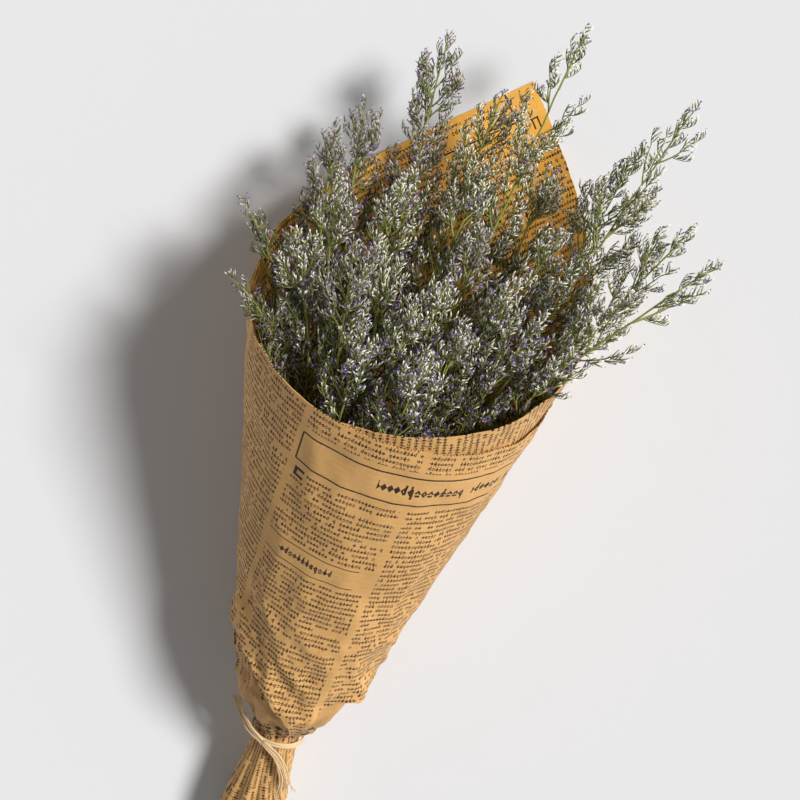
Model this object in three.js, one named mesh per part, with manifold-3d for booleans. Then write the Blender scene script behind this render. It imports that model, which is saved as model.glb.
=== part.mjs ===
// A dried statice bouquet rolled in a sheet of printed kraft paper, laid down on its back.
// Every point is first given along the bouquet's own axis: x to the right, y from the tie up to the
// flowers and z to the front. lay() then leans it as it lies, in millimetres with +Z up.
import * as THREE from 'three';
import { mergeVertices } from 'three/addons/utils/BufferGeometryUtils.js';
import Module from 'manifold-3d';

const wasm = await Module();
wasm.setup();

// How the bouquet lies
const LEAN = 10.55;            // degrees that the axis rises towards the flowers
const TAIL_REST_Y = -65;       // where the tail of the wrap touches the surface
const TAIL_REST_DEPTH = 15;    // depth of the surface below the axis there
const PRESS = 1.0;             // half width of the soft edge of the pressed-flat strip
const CENTRE_X = 11.87;        // middle of the part across, seen from the axis
const CENTRE_Y = 145.02;       // middle of the part along, seen from the tie

// The sheet of paper: square cornered, one corner up at the back, rolled to a cone
const PAPER = 0.9;             // thickness of the wrap as a solid
const LAP_GAP = 0.6;           // air between the two layers where they lap
const CONE_HALF_ANGLE = 12.56; // degrees
const BASE_Y = 27;             // height at which the cone starts above the tie
const BASE_RADIUS = 28.3;
const CORNER_REACH = 432.7;    // from the cone's apex to the sheet's top corner
const CORNER_PHI = 11.2;       // where the top corner stands, degrees from the back to the right
const COLUMN_ANGLE = 360 / 38; // the sheet's columns match where its layers lap
const SHEET_COLUMNS = 60;
const OUTER_END_PHI = -272;    // the left wing runs outside, round the front to here
// The right wing runs inside to here, stops sooner in the neck and tucks in above it
const INNER_END_PHI = OUTER_END_PHI + SHEET_COLUMNS * COLUMN_ANGLE;
const END_DRAWN_BACK = 12;
const END_STRIP = 25;          // width of the strip that is drawn back, in degrees
const END_TUCK = 2.6;
const END_TUCK_TOP = [45, 95]; // the tuck fades out between these heights
const LAP_START_PHI = -30;     // the left wing leaves the inner layer from here ...
const LAP_FULL_PHI = -66;      // ... and lies a full gap outside it from here
const NECK_RADIUS = 11;
const SHOULDER_BEND = 1.35;    // how the cone draws in to the neck
const NECK_BOTTOM_Y = -8;
const TAIL_RADIUS = 15;
const TAIL_END_Y = -63;
const TAIL_RAGGED = 2.5;       // how uneven the tail's edge is
const RAGGED_FROM_PHI = -60;
const PLEATS = 9;
const PLEAT_SWAY = 14;         // how unevenly the pleats stand, in degrees
const PLEAT_NECK = 0.5;        // depth of the pleats in the neck, at the shoulder and in the tail
const PLEAT_SHOULDER = 1.1;
const PLEAT_TAIL = 1.5;
const PLEATS_DEEPEN = 9;       // height where they are deepest, and between which they run out
const PLEATS_RUN_OUT = [14, 46];
const POCKET_FLARE = 4.5;      // how far the outer wing's loose lower edge stands off on the right
const POCKET_FADE = 14;        // height over which it comes back to the cone
const POCKET_PHI = [-212, -240]; // the flare begins and is full at these angles
// Rows of the sheet: shares of its gathered foot, then shares of the cone above it
const FOOT_ROWS = [0, 0.29, 0.58, 0.667, 0.731, 0.806, 0.892, 1];
const CONE_ROWS = [0.25, 0.5, 0.75, 1];
const FOOT_TOP_Y = 30;
const GATHER_STEP = 0.6;       // least height of a row there
const GATHER_PHI = -78;        // from here on the sheet runs through the neck
const LAP_DRAWN_IN_Y = [-4, 3]; // below the first height a gathered lap lies on the layer under it
const FOOT_LEAST = 14;         // least height of the foot above a free lower edge
// The outer wing's free lower edge: degrees round the cone, height above the tie
const LOWER_EDGE = [
  [-272, 36], [-254, 39], [-244, 40], [-225, 40], [-215.2, 36], [-205.7, 26], [-196.2, 12], [-187, 21],
  [-178, 27], [-159, 38], [-140, 50], [-120, 58], [-101, 56], [-92, 42], [-83, 17], [-73.5, -2], [-64, -24],
  [-54.5, TAIL_END_Y], [300, TAIL_END_Y],
];

// The raffia tie
const RAFFIA = 0.85;           // radius of one wound strand
const TIE_RADIUS = 13.35;
const TIE_TURNS_Y = [-4.1, -2.3];
const KNOT_PHI = -158;
const KNOT_OUT = 1.2;          // how far the knot's middle stands outside the turns
const KNOT_SIZE = [2.7, 2.2, 1.9];
// Middle lines of the two tails
const TAIL_UP = [[-5.5, -2.4, 14.6], [-13, 2.2, 13.2], [-17.8, 6.2, 11.8], [-21, 10.6, 10.4]];
const TAIL_DOWN = [[-5, -2.4, 14.6], [3.6, -8, 15.2], [9.5, -17, 14.6], [12.5, -26, 13.4]];
const RIBBON_WIDTH = 2.4;
const RIBBON_THICKNESS = 1.5;
const FRAYS = [-1, 0, 1];      // the middle one is a little longer
const FRAY_SPREAD = 15;        // degrees between the frayed ends
const FRAY_LENGTH = 8;
const FRAY_WIDTH = 1.3;
const FRAY_THICKNESS = 1.1;
const FRAY_ROOT = 1.5;         // how deep a frayed end starts inside the tail

// The sprays
const SEED = 20;
const SEED_STEP = 977;
const STEM_NECK_RADIUS = 1.5;
const STEM_TIP_RADIUS = 0.75;
const STEM_PITCH = 2.9;        // least distance between stems in the neck
const NECK_STEM_REACH = 8.2;   // furthest stem centre from the axis in the neck
const CUT_Y = -73;
const CUT_UNEVEN = 4;
const TAIL_SPREAD = 1.12;
const SETTLE_ROUNDS = 400;
const FAN_START_Y = 8;
const MOUTH_Y = 205;
const MOUTH_PITCH = 19;        // least distance between stems at the mouth
const MOUTH_REACH = 61;
const LIP = 4;                 // how far past the wrap's edge a stem starts to lean over it
// Tops of the sprays that make the outline
const OUTLINE_TOPS = [
  [31.5, 360, -40], [-24, 337, -48], [83.4, 350, -10], [98, 306, 8], [109, 303, 34],
  [-83.6, 249, -8], [-75.5, 232, 34], [-51, 296, -48], [-59, 286, -34], [70, 322, -22],
  [6, 320, -46],
];
const FILL_SPRAYS = 17;
const FILL_LEVEL = 250;        // height at which the filling sprays' reach is measured
const FILL_REACH = 62;
const FILL_DEPTH = 0.85;       // they stand in an ellipse, less deep than wide
const FILL_TURN = 40;
const FILL_FRONT = 12;         // the filling sprays' middle, in front of the axis
const FILL_TOP_Y = 270;
const FILL_TOP_SLOPE = 0.62;   // they get shorter towards the front
const FILL_UNEVEN = 24;
const GOLDEN = 137.508;
const TOP_MARGIN = 3;          // a neighbour's share of the space ends this far above its top
const DIRECTION_SPAN = 4;      // half the length over which a stem's direction is taken
const PLAIN_TOP_Y = 90;
const TAPER_FROM_Y = 60;
const TWIG_ZONE = 122;         // length of the flowering part of a stem
const LOWEST_TWIG_Y = 150;
const TWIG_STEP = 12;
const TWIG_LONG = 36;
const TWIG_SHORT = 17;
const TWIG_ROOT_ANGLE = 40;    // from the stem, at the twig's root and at its end
const TWIG_END_ANGLE = 14;
const TWIG_ROOT_RADIUS = 0.6;
const TWIG_END_RADIUS = 0.42;
const TWIG_STATIONS = [0, 0.2, 0.6, 1];
const TWIG_TESTED = [0.4, 0.7, 0.9, 1.08];
const TWIG_LEAST = 6;          // a twig shorter than this isn't grown
const TWIG_UNEVEN = 0.15;
const TWIG_SWAY = 30;          // unevenness of the twigs' turn round the stem, in degrees
const SHORTENED = 0.85;        // a twig or spike that isn't free is shortened by this, again and again
const NODE_HALF = 1.4;         // half the height of the stem's face that a twig grows from
const CROWN_STATIONS = [0.25, 0.6, 0.95];
const POINT_LONG = 2;
const SPIKE_LONG = 11;
const CROWN_SPIKE = 7.7;
const SPIKE_SHARE = 0.42;      // the longest spike as a share of its twig
const SPIKE_AT_ROOT = 1.2;     // spikes are longer at the twig's root than at its end
const SPIKE_AT_END = 0.65;
const SPIKE_ANGLE = 40;
const SPIKE_LEAST = 2.5;
const FACE_TURN = 120;         // a three-sided stem looks the same after this turn
const CELL_GAP = 0.45;         // each spray stays this far inside its own share of the space
const PAPER_GAP = 1.3;
const FLOOR_GAP = 2.4;

const PAPER_TAN = new THREE.MeshStandardMaterial({ color: 0xc79a5c, roughness: 0.85, metalness: 0 });
const RAFFIA_STRAW = new THREE.MeshStandardMaterial({ color: 0xd8c48f, roughness: 0.8, metalness: 0 });
const SPRAY_GREEN = new THREE.MeshStandardMaterial({ color: 0x9aa38a, roughness: 0.85, metalness: 0 });

const rad = THREE.MathUtils.degToRad;
const lerp = THREE.MathUtils.lerp;
const smooth = (x, a, b) => {
  const s = Math.min(1, Math.max(0, (x - a) / (b - a)));
  return s * s * (3 - 2 * s);
};
const lift = -TAIL_REST_Y * Math.sin(rad(LEAN)) + TAIL_REST_DEPTH * Math.cos(rad(LEAN));

function seeded(seed) {
  let state = seed >>> 0;
  return () => {
    state = (Math.imul(state, 1664525) + 1013904223) >>> 0;
    return state / 4294967296;
  };
}

// Where a point of the bouquet's own axes is once the bouquet lies down
function lay(p) {
  const s = Math.sin(rad(LEAN));
  const c = Math.cos(rad(LEAN));
  return new THREE.Vector3(p.x - CENTRE_X, p.y * c - p.z * s - CENTRE_Y, p.y * s + p.z * c + lift);
}

// The nearest value to z that is not below the floor, with a soft edge
function pressed(z, floor) {
  const x = z - floor;
  if (x <= -PRESS) return floor;
  return x >= PRESS ? z : floor + (x + PRESS) ** 2 / (4 * PRESS);
}

// Height between the points of a hand-drawn line
function along(line, x) {
  const i = Math.max(1, line.findIndex(([at]) => at >= x));
  const [x0, y0] = line[i - 1];
  const [x1, y1] = line[i];
  return lerp(y0, y1, smooth(x, x0, x1));
}

// The paper wrap
const apexY = BASE_Y - BASE_RADIUS / Math.tan(rad(CONE_HALF_ANGLE));

function rimHeight(phi) {
  const turn = rad(Math.abs(phi - CORNER_PHI)) * Math.sin(rad(CONE_HALF_ANGLE));
  const reach = CORNER_REACH / (Math.cos(turn) + Math.sin(turn));
  return reach * Math.cos(rad(CONE_HALF_ANGLE)) + apexY;
}

function coneRadius(y) {
  const slope = Math.tan(rad(CONE_HALF_ANGLE));
  const cone = BASE_RADIUS + (y - BASE_Y) * slope;
  if (y >= BASE_Y) return cone;
  if (y >= 0) {
    const atTie = BASE_RADIUS - BASE_Y * slope;
    return cone - (atTie - NECK_RADIUS) * (1 - y / BASE_Y) ** SHOULDER_BEND;
  }
  return lerp(NECK_RADIUS, TAIL_RADIUS, smooth(y, NECK_BOTTOM_Y, TAIL_END_Y));
}

function pleatDepth(y) {
  if (y < 0) return lerp(PLEAT_NECK, PLEAT_TAIL, smooth(y, NECK_BOTTOM_Y, TAIL_END_Y));
  return lerp(PLEAT_NECK, PLEAT_SHOULDER, smooth(y, 0, PLEATS_DEEPEN)) * (1 - smooth(y, ...PLEATS_RUN_OUT));
}

function lowerEdge(phi) {
  const wave = Math.sin(rad(phi * 2.3)) * Math.cos(rad(phi * 5.1));
  return along(LOWER_EDGE, phi) + (phi > RAGGED_FROM_PHI ? TAIL_RAGGED * wave : 0);
}

// Middle of the paper at an angle round the cone, 0 at the back and 90 on the right, and a height
function sheetPoint(phi, y) {
  const drawnIn = phi > GATHER_PHI ? smooth(y, ...LAP_DRAWN_IN_Y) : 1;
  const lap = (PAPER + LAP_GAP) * smooth(-phi, -LAP_START_PHI, -LAP_FULL_PHI) * drawnIn;
  const pleat = pleatDepth(y) * Math.cos(rad(phi * PLEATS + PLEAT_SWAY * Math.sin(rad(phi * 2))));
  const flared = POCKET_FLARE * smooth(-phi, -POCKET_PHI[0], -POCKET_PHI[1]);
  const loose = flared * Math.exp(-(y - lowerEdge(phi)) / POCKET_FADE);
  const atEnd = smooth(phi, INNER_END_PHI - 2 * END_STRIP, INNER_END_PHI - END_STRIP);
  const tuck = END_TUCK * atEnd * smooth(y, -1, 6) * (1 - smooth(y, ...END_TUCK_TOP));
  const r = coneRadius(y) + lap + pleat + loose - tuck;
  return new THREE.Vector3(r * Math.sin(rad(phi)), y, -r * Math.cos(rad(phi)));
}

function sheetFace(phi, y, side) {
  const step = 0.5;
  const across = sheetPoint(phi + step, y).sub(sheetPoint(phi - step, y));
  const up = sheetPoint(phi, y + step).sub(sheetPoint(phi, y - step));
  const out = up.cross(across).normalize();
  const laid = lay(sheetPoint(phi, y).addScaledVector(out, side * PAPER / 2));
  laid.z = pressed(laid.z, side > 0 ? 0 : PAPER);
  return laid;
}

function sheetRow(phi, row) {
  const low = lowerEdge(phi);
  const foot = Math.max(FOOT_TOP_Y, low + FOOT_LEAST);
  if (row >= FOOT_ROWS.length) return lerp(foot, rimHeight(phi), CONE_ROWS[row - FOOT_ROWS.length]);
  if (phi < GATHER_PHI) return lerp(low, foot, FOOT_ROWS[row]);
  return Math.max(lerp(TAIL_END_Y, foot, FOOT_ROWS[row]), low + GATHER_STEP * row);
}

function paperWrap() {
  const rows = FOOT_ROWS.length + CONE_ROWS.length - 1;
  const face = new THREE.PlaneGeometry(1, 1, SHEET_COLUMNS, rows);
  const count = face.attributes.position.count;
  const points = [];
  for (const side of [-1, 1]) {
    for (let i = 0; i < count; i++) {
      const across = face.attributes.position.getX(i) + 0.5;
      const row = Math.round((face.attributes.position.getY(i) + 0.5) * rows);
      const phi = lerp(OUTER_END_PHI, INNER_END_PHI, across);
      const y = sheetRow(phi, row);
      const atEnd = smooth(phi, INNER_END_PHI - END_STRIP, INNER_END_PHI);
      points.push(sheetFace(phi - END_DRAWN_BACK * atEnd * (1 - smooth(y, 2, 16)), y, side));
    }
  }
  const index = [];
  const flat = face.index.array;
  for (let i = 0; i < flat.length; i += 3) {
    index.push(flat[i], flat[i + 1], flat[i + 2]);
    index.push(flat[i] + count, flat[i + 2] + count, flat[i + 1] + count);
  }
  const edge = [];
  const columns = SHEET_COLUMNS + 1;
  for (let i = 0; i < SHEET_COLUMNS; i++) edge.push(i);
  for (let i = 0; i < rows; i++) edge.push(i * columns + SHEET_COLUMNS);
  for (let i = SHEET_COLUMNS; i > 0; i--) edge.push(rows * columns + i);
  for (let i = rows; i > 0; i--) edge.push(i * columns);
  edge.forEach((a, i) => {
    const b = edge[(i + 1) % edge.length];
    index.push(a, b, b + count, a, b + count, a + count);
  });
  const sheet = new THREE.BufferGeometry().setFromPoints(points);
  sheet.setIndex(index);
  return sheet;
}

// Joining
function solidOf(geometry) {
  const bare = geometry.clone();
  bare.deleteAttribute('normal');
  bare.deleteAttribute('uv');
  const merged = mergeVertices(bare, 1e-4);
  return new wasm.Manifold(new wasm.Mesh({
    numProp: 3,
    vertProperties: new Float32Array(merged.attributes.position.array),
    triVerts: new Uint32Array(merged.index.array),
  }));
}

function fused(geometries) {
  let whole = null;
  for (const geometry of geometries) {
    const solid = solidOf(geometry);
    whole = whole ? whole.add(solid) : solid;
  }
  const { vertProperties, triVerts } = whole.getMesh();
  const result = new THREE.BufferGeometry();
  result.setAttribute('position', new THREE.BufferAttribute(vertProperties, 3));
  result.setIndex(new THREE.BufferAttribute(triVerts, 1));
  return result;
}

// A slim three-sided rod through stations, each with a middle, a radius and the way its ridge looks.
// Its bottom is closed and its top is drawn out to a point.
function rod(stations, pointLength) {
  const bare = new THREE.CylinderGeometry(1, 1, 1, 3, stations.length - 1);
  bare.deleteAttribute('normal');
  bare.deleteAttribute('uv');
  const shape = mergeVertices(bare, 1e-4);
  const place = shape.attributes.position;
  const last = stations.length - 1;
  const points = [];
  const marks = [];
  for (let i = 0; i < place.count; i++) {
    const at = Math.round((place.getY(i) + 0.5) * last);
    const { middle, radius, ridge } = stations[at];
    const tangent = stations[Math.min(last, at + 1)].middle.clone()
      .sub(stations[Math.max(0, at - 1)].middle).normalize();
    const side = new THREE.Vector3().crossVectors(tangent, ridge).normalize();
    const top = new THREE.Vector3().crossVectors(side, tangent);
    const p = middle.clone()
      .addScaledVector(top, place.getZ(i) * radius)
      .addScaledVector(side, place.getX(i) * radius);
    const onAxis = Math.hypot(place.getX(i), place.getZ(i)) < 0.5;
    if (onAxis && at > 0) p.addScaledVector(tangent, pointLength);
    points.push(p);
    marks.push({ at, onAxis, angle: Math.atan2(place.getX(i), place.getZ(i)) });
  }
  const faces = [];
  for (let i = 0; i < shape.index.count; i += 3) faces.push([...shape.index.array.slice(i, i + 3)]);
  return { points, marks, faces };
}

function laid(geometry) {
  const place = geometry.attributes.position;
  for (let i = 0; i < place.count; i++) {
    const p = lay(new THREE.Vector3().fromBufferAttribute(place, i));
    place.setXYZ(i, p.x, p.y, p.z);
  }
  return geometry;
}

// The raffia tie: two turns round the neck, a knot and two tails with frayed ends
function ribbon(points, width, thickness) {
  const line = new THREE.CatmullRomCurve3(points);
  const outline = new THREE.Shape();
  outline.moveTo(-thickness / 2, -width / 2);
  outline.lineTo(thickness / 2, -width / 2);
  outline.lineTo(thickness / 2, width / 2);
  outline.lineTo(-thickness / 2, width / 2);
  return new THREE.ExtrudeGeometry(outline, { steps: points.length, extrudePath: line });
}

function tail(points) {
  const line = points.map((p) => lay(new THREE.Vector3(...p)));
  const pieces = [ribbon(line, RIBBON_WIDTH, RIBBON_THICKNESS)];
  const end = line[line.length - 1];
  const ahead = end.clone().sub(line[line.length - 2]).normalize();
  const root = end.clone().addScaledVector(ahead, -FRAY_ROOT);
  const spin = new THREE.Vector3(0, 0, 1);
  for (const k of FRAYS) {
    const way = ahead.clone().applyAxisAngle(spin, rad(k * FRAY_SPREAD));
    const tip = root.clone().addScaledVector(way, FRAY_LENGTH + (k === 0 ? FRAY_ROOT : 0));
    pieces.push(ribbon([root, root.clone().lerp(tip, 0.5), tip], FRAY_WIDTH, FRAY_THICKNESS));
  }
  return pieces;
}

function raffiaTie() {
  const pieces = [];
  for (const y of TIE_TURNS_Y) {
    const turn = new THREE.TorusGeometry(TIE_RADIUS, RAFFIA, 4, 16);
    turn.rotateX(Math.PI / 2);
    turn.translate(0, y, 0);
    pieces.push(laid(turn));
  }
  const knot = new THREE.SphereGeometry(1, 7, 5);
  knot.scale(...KNOT_SIZE);
  const a = rad(KNOT_PHI);
  const r = TIE_RADIUS + KNOT_OUT;
  knot.translate(r * Math.sin(a), TIE_TURNS_Y[0] + 0.9, -r * Math.cos(a));
  pieces.push(laid(knot));
  pieces.push(...tail(TAIL_UP), ...tail(TAIL_DOWN));
  return fused(pieces);
}

// Where the sprays stand: points pushed apart until none is nearer than the pitch
function settled(points, pitch, reach) {
  const at = points.map((p) => p.clone());
  for (let round = 0; round < SETTLE_ROUNDS; round++) {
    for (let i = 0; i < at.length; i++) {
      for (let j = 0; j < i; j++) {
        const apart = at[i].clone().sub(at[j]);
        const short = pitch - apart.length();
        if (short > 0) {
          apart.setLength(short / 2);
          at[i].add(apart);
          at[j].sub(apart);
        }
      }
    }
    at.forEach((p) => p.clampLength(0, reach));
  }
  return at;
}

function sprayTops() {
  const random = seeded(SEED);
  const tops = OUTLINE_TOPS.map((p) => new THREE.Vector3(...p));
  for (let i = 0; i < FILL_SPRAYS; i++) {
    const r = FILL_REACH * Math.sqrt((i + 0.5) / FILL_SPRAYS);
    const a = rad(i * GOLDEN + FILL_TURN);
    const front = FILL_FRONT + r * Math.sin(a) * FILL_DEPTH;
    const y = FILL_TOP_Y - FILL_TOP_SLOPE * front + FILL_UNEVEN * (random() - 0.5);
    const fan = y / FILL_LEVEL;
    tops.push(new THREE.Vector3(r * Math.cos(a) * fan, y, front * fan));
  }
  return tops;
}

const tops = sprayTops();
const mouth = settled(
  tops.map((p) => new THREE.Vector2(p.x, p.z).multiplyScalar(MOUTH_Y / p.y).clampLength(0, MOUTH_REACH)),
  MOUTH_PITCH,
  MOUTH_REACH,
);
const neck = settled(
  mouth.map((p) => p.clone().multiplyScalar(NECK_STEM_REACH / MOUTH_REACH)),
  STEM_PITCH,
  NECK_STEM_REACH,
);

// The wrap's highest edge at an angle round the cone
function paperTop(phi) {
  const right = phi >= CORNER_PHI ? phi : phi + 360;
  const left = phi <= CORNER_PHI ? phi : phi - 360;
  const inner = right <= INNER_END_PHI ? rimHeight(right) : 0;
  const outer = left >= OUTER_END_PHI ? rimHeight(left) : 0;
  return Math.max(inner, outer);
}

function angleRound(p) {
  return THREE.MathUtils.radToDeg(Math.atan2(p.x, -p.z));
}

// Stems fan out straight up to here; one that leans over the wrap's edge goes on past that edge first
const bends = tops.map((top) => {
  const leansOut = Math.hypot(top.x, top.z) > coneRadius(top.y) - PAPER_GAP;
  return leansOut ? Math.max(MOUTH_Y, paperTop(angleRound(top)) + LIP) : MOUTH_Y;
});

// Middle of a stem at a height
function stemAt(k, y) {
  const from = neck[k];
  const top = tops[k];
  const reach = (bends[k] - FAN_START_Y) / (MOUTH_Y - FAN_START_Y);
  const over = from.clone().lerp(mouth[k], reach);
  if (y <= FAN_START_Y) {
    const spread = lerp(1, TAIL_SPREAD, smooth(y, NECK_BOTTOM_Y, CUT_Y));
    return new THREE.Vector3(from.x * spread, y, from.y * spread);
  }
  if (y <= bends[k]) {
    const s = (y - FAN_START_Y) / (bends[k] - FAN_START_Y);
    return new THREE.Vector3(lerp(from.x, over.x, s), y, lerp(from.y, over.y, s));
  }
  const s = (y - bends[k]) / (top.y - bends[k]);
  return new THREE.Vector3(lerp(over.x, top.x, s), y, lerp(over.y, top.z, s));
}

// True where a point is in its own spray's share of the space and clear of the paper and the floor
function free(k, p) {
  const own = stemAt(k, Math.min(p.y, tops[k].y));
  const mine = Math.hypot(p.x - own.x, p.z - own.z);
  for (let j = 0; j < tops.length; j++) {
    if (j === k || p.y > tops[j].y + TOP_MARGIN) continue;
    const other = stemAt(j, Math.min(p.y, tops[j].y));
    const apart = Math.hypot(other.x - own.x, other.z - own.z);
    const theirs = Math.hypot(p.x - other.x, p.z - other.z);
    if ((theirs ** 2 - mine ** 2) / (2 * apart) < CELL_GAP) return false;
  }
  const beside = p.y < paperTop(angleRound(p)) + TOP_MARGIN;
  if (beside && Math.hypot(p.x, p.z) > coneRadius(p.y) - PAPER_GAP) return false;
  return lay(p).z > FLOOR_GAP;
}

// A twig's middle line: it leaves the stem and curls up along it, and is shortened until it is free
function twigLine(k, y, azimuth, length) {
  const root = stemAt(k, y);
  const axis = stemAt(k, y + DIRECTION_SPAN).sub(stemAt(k, y - DIRECTION_SPAN)).normalize();
  const out = new THREE.Vector3(Math.cos(azimuth), 0, Math.sin(azimuth));
  out.addScaledVector(axis, -out.dot(axis)).normalize();
  const heading = (angle) => axis.clone().multiplyScalar(Math.cos(rad(angle)))
    .addScaledVector(out, Math.sin(rad(angle)));
  const early = heading(TWIG_ROOT_ANGLE);
  const late = heading(TWIG_END_ANGLE);
  const bow = (size) => (t) => root.clone()
    .addScaledVector(early, size * (t - t * t / 2))
    .addScaledVector(late, size * t * t / 2);
  let size = length;
  while (size > TWIG_LEAST && !TWIG_TESTED.every((t) => free(k, bow(size)(t)))) size *= SHORTENED;
  return { centre: bow(size), size, out };
}

// The middle of the corners of a face
function middleOf(points, face) {
  return face.reduce((sum, i) => sum.add(points[i]), new THREE.Vector3()).divideScalar(3);
}

function outwardOf(points, [a, b, c]) {
  const ab = points[b].clone().sub(points[a]);
  return ab.cross(points[c].clone().sub(points[a])).normalize();
}

// Raises a spike from every face that the rule wants, leaning ahead along the rod
function raiseSpikes(k, body, ahead, wanted, reachAt) {
  body.faces = body.faces.flatMap((face) => {
    if (!wanted(face)) return [face];
    const middle = middleOf(body.points, face);
    const out = outwardOf(body.points, face);
    out.addScaledVector(ahead, -out.dot(ahead)).normalize();
    const lean = ahead.clone().multiplyScalar(Math.cos(rad(SPIKE_ANGLE)));
    lean.addScaledVector(out, Math.sin(rad(SPIKE_ANGLE)));
    let reach = reachAt(face);
    while (reach > SPIKE_LEAST && !free(k, middle.clone().addScaledVector(lean, reach))) reach *= SHORTENED;
    if (reach <= SPIKE_LEAST) return [face];
    const [a, b, c] = face;
    const tip = body.points.push(middle.addScaledVector(lean, reach)) - 1;
    return [[a, b, tip], [b, c, tip], [c, a, tip]];
  });
}

// A twig with two rows of spikes
function twig(k, { centre, size, out }) {
  const stations = TWIG_STATIONS.map((t) => ({
    middle: centre(t), radius: lerp(TWIG_ROOT_RADIUS, TWIG_END_RADIUS, t), ridge: out,
  }));
  const body = rod(stations, POINT_LONG);
  // The two faces that meet in the ridge bear spikes, the third doesn't
  const bearing = (face) => {
    const marks = face.map((i) => body.marks[i]);
    const turn = marks.reduce((sum, m) => sum + Math.cos(m.angle), 0);
    return marks.every((m) => m.at > 0 && !m.onAxis) && turn > -0.6;
  };
  const longest = Math.min(SPIKE_LONG, size * SPIKE_SHARE);
  const reachAt = (face) => {
    const share = face.reduce((sum, i) => sum + TWIG_STATIONS[body.marks[i].at], 0) / face.length;
    return longest * lerp(SPIKE_AT_ROOT, SPIKE_AT_END, share);
  };
  raiseSpikes(k, body, centre(1).sub(centre(0.4)).normalize(), bearing, reachAt);
  return body;
}

// Grows a twig out of one face of the stem: its open foot takes the face's three corners
function graft(stem, face, branch) {
  const round = (i) => THREE.MathUtils.euclideanModulo(branch.marks[i].angle, 2 * Math.PI);
  const foot = branch.marks.flatMap((mark, i) => (mark.at === 0 && !mark.onAxis ? [i] : []));
  foot.sort((a, b) => round(a) - round(b));
  const cornerFor = (n, turn) => face[(n + turn) % 3];
  const apart = (turn) => foot.reduce(
    (sum, i, n) => sum + branch.points[i].distanceTo(stem.points[cornerFor(n, turn)]),
    0,
  );
  const turn = [0, 1, 2].sort((a, b) => apart(a) - apart(b))[0];
  const offset = stem.points.length;
  stem.points.push(...branch.points);
  const rename = (i) => (foot.includes(i) ? cornerFor(foot.indexOf(i), turn) : i + offset);
  const bottom = branch.marks.findIndex((mark) => mark.at === 0 && mark.onAxis);
  const open = branch.faces.filter((f) => !f.includes(bottom));
  stem.faces = stem.faces.filter((f) => f !== face).concat(open.map((f) => f.map(rename)));
}

// The twigs of a spray, from low to high
function twigsOf(k, random, low, shoulder) {
  const count = Math.round((shoulder - low) / TWIG_STEP);
  const start = random() * 360;
  const twigs = [];
  for (let j = 0; j < count; j++) {
    const y = lerp(low, shoulder, (j + 0.2 + 0.4 * random()) / count);
    const turn = start + j * GOLDEN + TWIG_SWAY * (random() - 0.5);
    const share = (shoulder - y) / (shoulder - low);
    const length = lerp(TWIG_SHORT, TWIG_LONG, share) * (1 + TWIG_UNEVEN * (2 * random() - 1));
    const line = twigLine(k, y, rad(turn), length);
    if (line.size > TWIG_LEAST) twigs.push({ y, turn, line });
  }
  return twigs;
}

// The same look of a three-sided stem, with the least twist from the turn before
function untwisted(turn, before) {
  return turn + FACE_TURN * Math.round((before - turn) / FACE_TURN);
}

function spray(k) {
  const random = seeded(SEED + SEED_STEP * (k + 1));
  const top = tops[k].y;
  const cut = CUT_Y + CUT_UNEVEN * (random() - 0.5);
  const shoulder = top - TWIG_SHORT;
  const low = Math.max(LOWEST_TWIG_Y, top - TWIG_ZONE);
  const twigs = twigsOf(k, random, low, shoulder);
  // In the neck all the stems stand the same way round, close together
  const plain = [cut, NECK_BOTTOM_Y, FAN_START_Y].map((y) => ({ y, turn: 0 }));
  plain.push({ y: PLAIN_TOP_Y, turn: twigs[0].turn });
  const nodes = twigs.flatMap(({ y, turn }) => [{ y: y - NODE_HALF, turn }, { y: y + NODE_HALF, turn }]);
  const crown = CROWN_STATIONS.map((t) => ({ y: lerp(shoulder, top, t), turn: twigs[0].turn }));
  let before = 0;
  const stations = [...plain, ...nodes, ...crown].map(({ y, turn }) => {
    before = untwisted(turn, before);
    return {
      middle: stemAt(k, y),
      radius: lerp(STEM_NECK_RADIUS, STEM_TIP_RADIUS, smooth(y, TAPER_FROM_Y, top)),
      ridge: new THREE.Vector3(-Math.cos(rad(before)), 0, -Math.sin(rad(before))),
    };
  });
  const stem = rod(stations, POINT_LONG);
  const onCrown = (i) => stem.marks[i].at >= plain.length + nodes.length && !stem.marks[i].onAxis;
  const ahead = tops[k].clone().sub(stemAt(k, shoulder)).normalize();
  raiseSpikes(k, stem, ahead, (face) => face.every(onCrown), () => CROWN_SPIKE);
  twigs.forEach(({ line }, j) => {
    const lower = plain.length + 2 * j;
    const atNode = (i) => {
      const mark = stem.marks[i];
      return mark && !mark.onAxis && (mark.at === lower || mark.at === lower + 1);
    };
    const facing = (face) => outwardOf(stem.points, face).dot(line.out);
    const ring = stem.faces.filter((face) => face.every(atNode));
    graft(stem, ring.sort((a, b) => facing(b) - facing(a))[0], twig(k, line));
  });
  const geometry = new THREE.BufferGeometry().setFromPoints(stem.points);
  geometry.setIndex(stem.faces.flat());
  return laid(geometry);
}

function piece(name, geometry, material) {
  const mesh = new THREE.Mesh(geometry, material);
  mesh.name = name;
  return mesh;
}

const group = new THREE.Group();
group.add(piece('paper_wrap', paperWrap(), PAPER_TAN));
group.add(piece('raffia_tie', raffiaTie(), RAFFIA_STRAW));
tops.forEach((top, k) => {
  group.add(piece(`spray_${String(k + 1).padStart(2, '0')}`, spray(k), SPRAY_GREEN));
});

export default group;
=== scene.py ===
"""Dresses the dried statice bouquet: the printed kraft wrap, the raffia tie and the sprays.

Shapes are worked out along the bouquet's own axis, in millimetres: x to the right, y from the tie up
to the flowers and z to the front. lay() leans them as the bouquet lies on its back.
"""

import math

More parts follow.
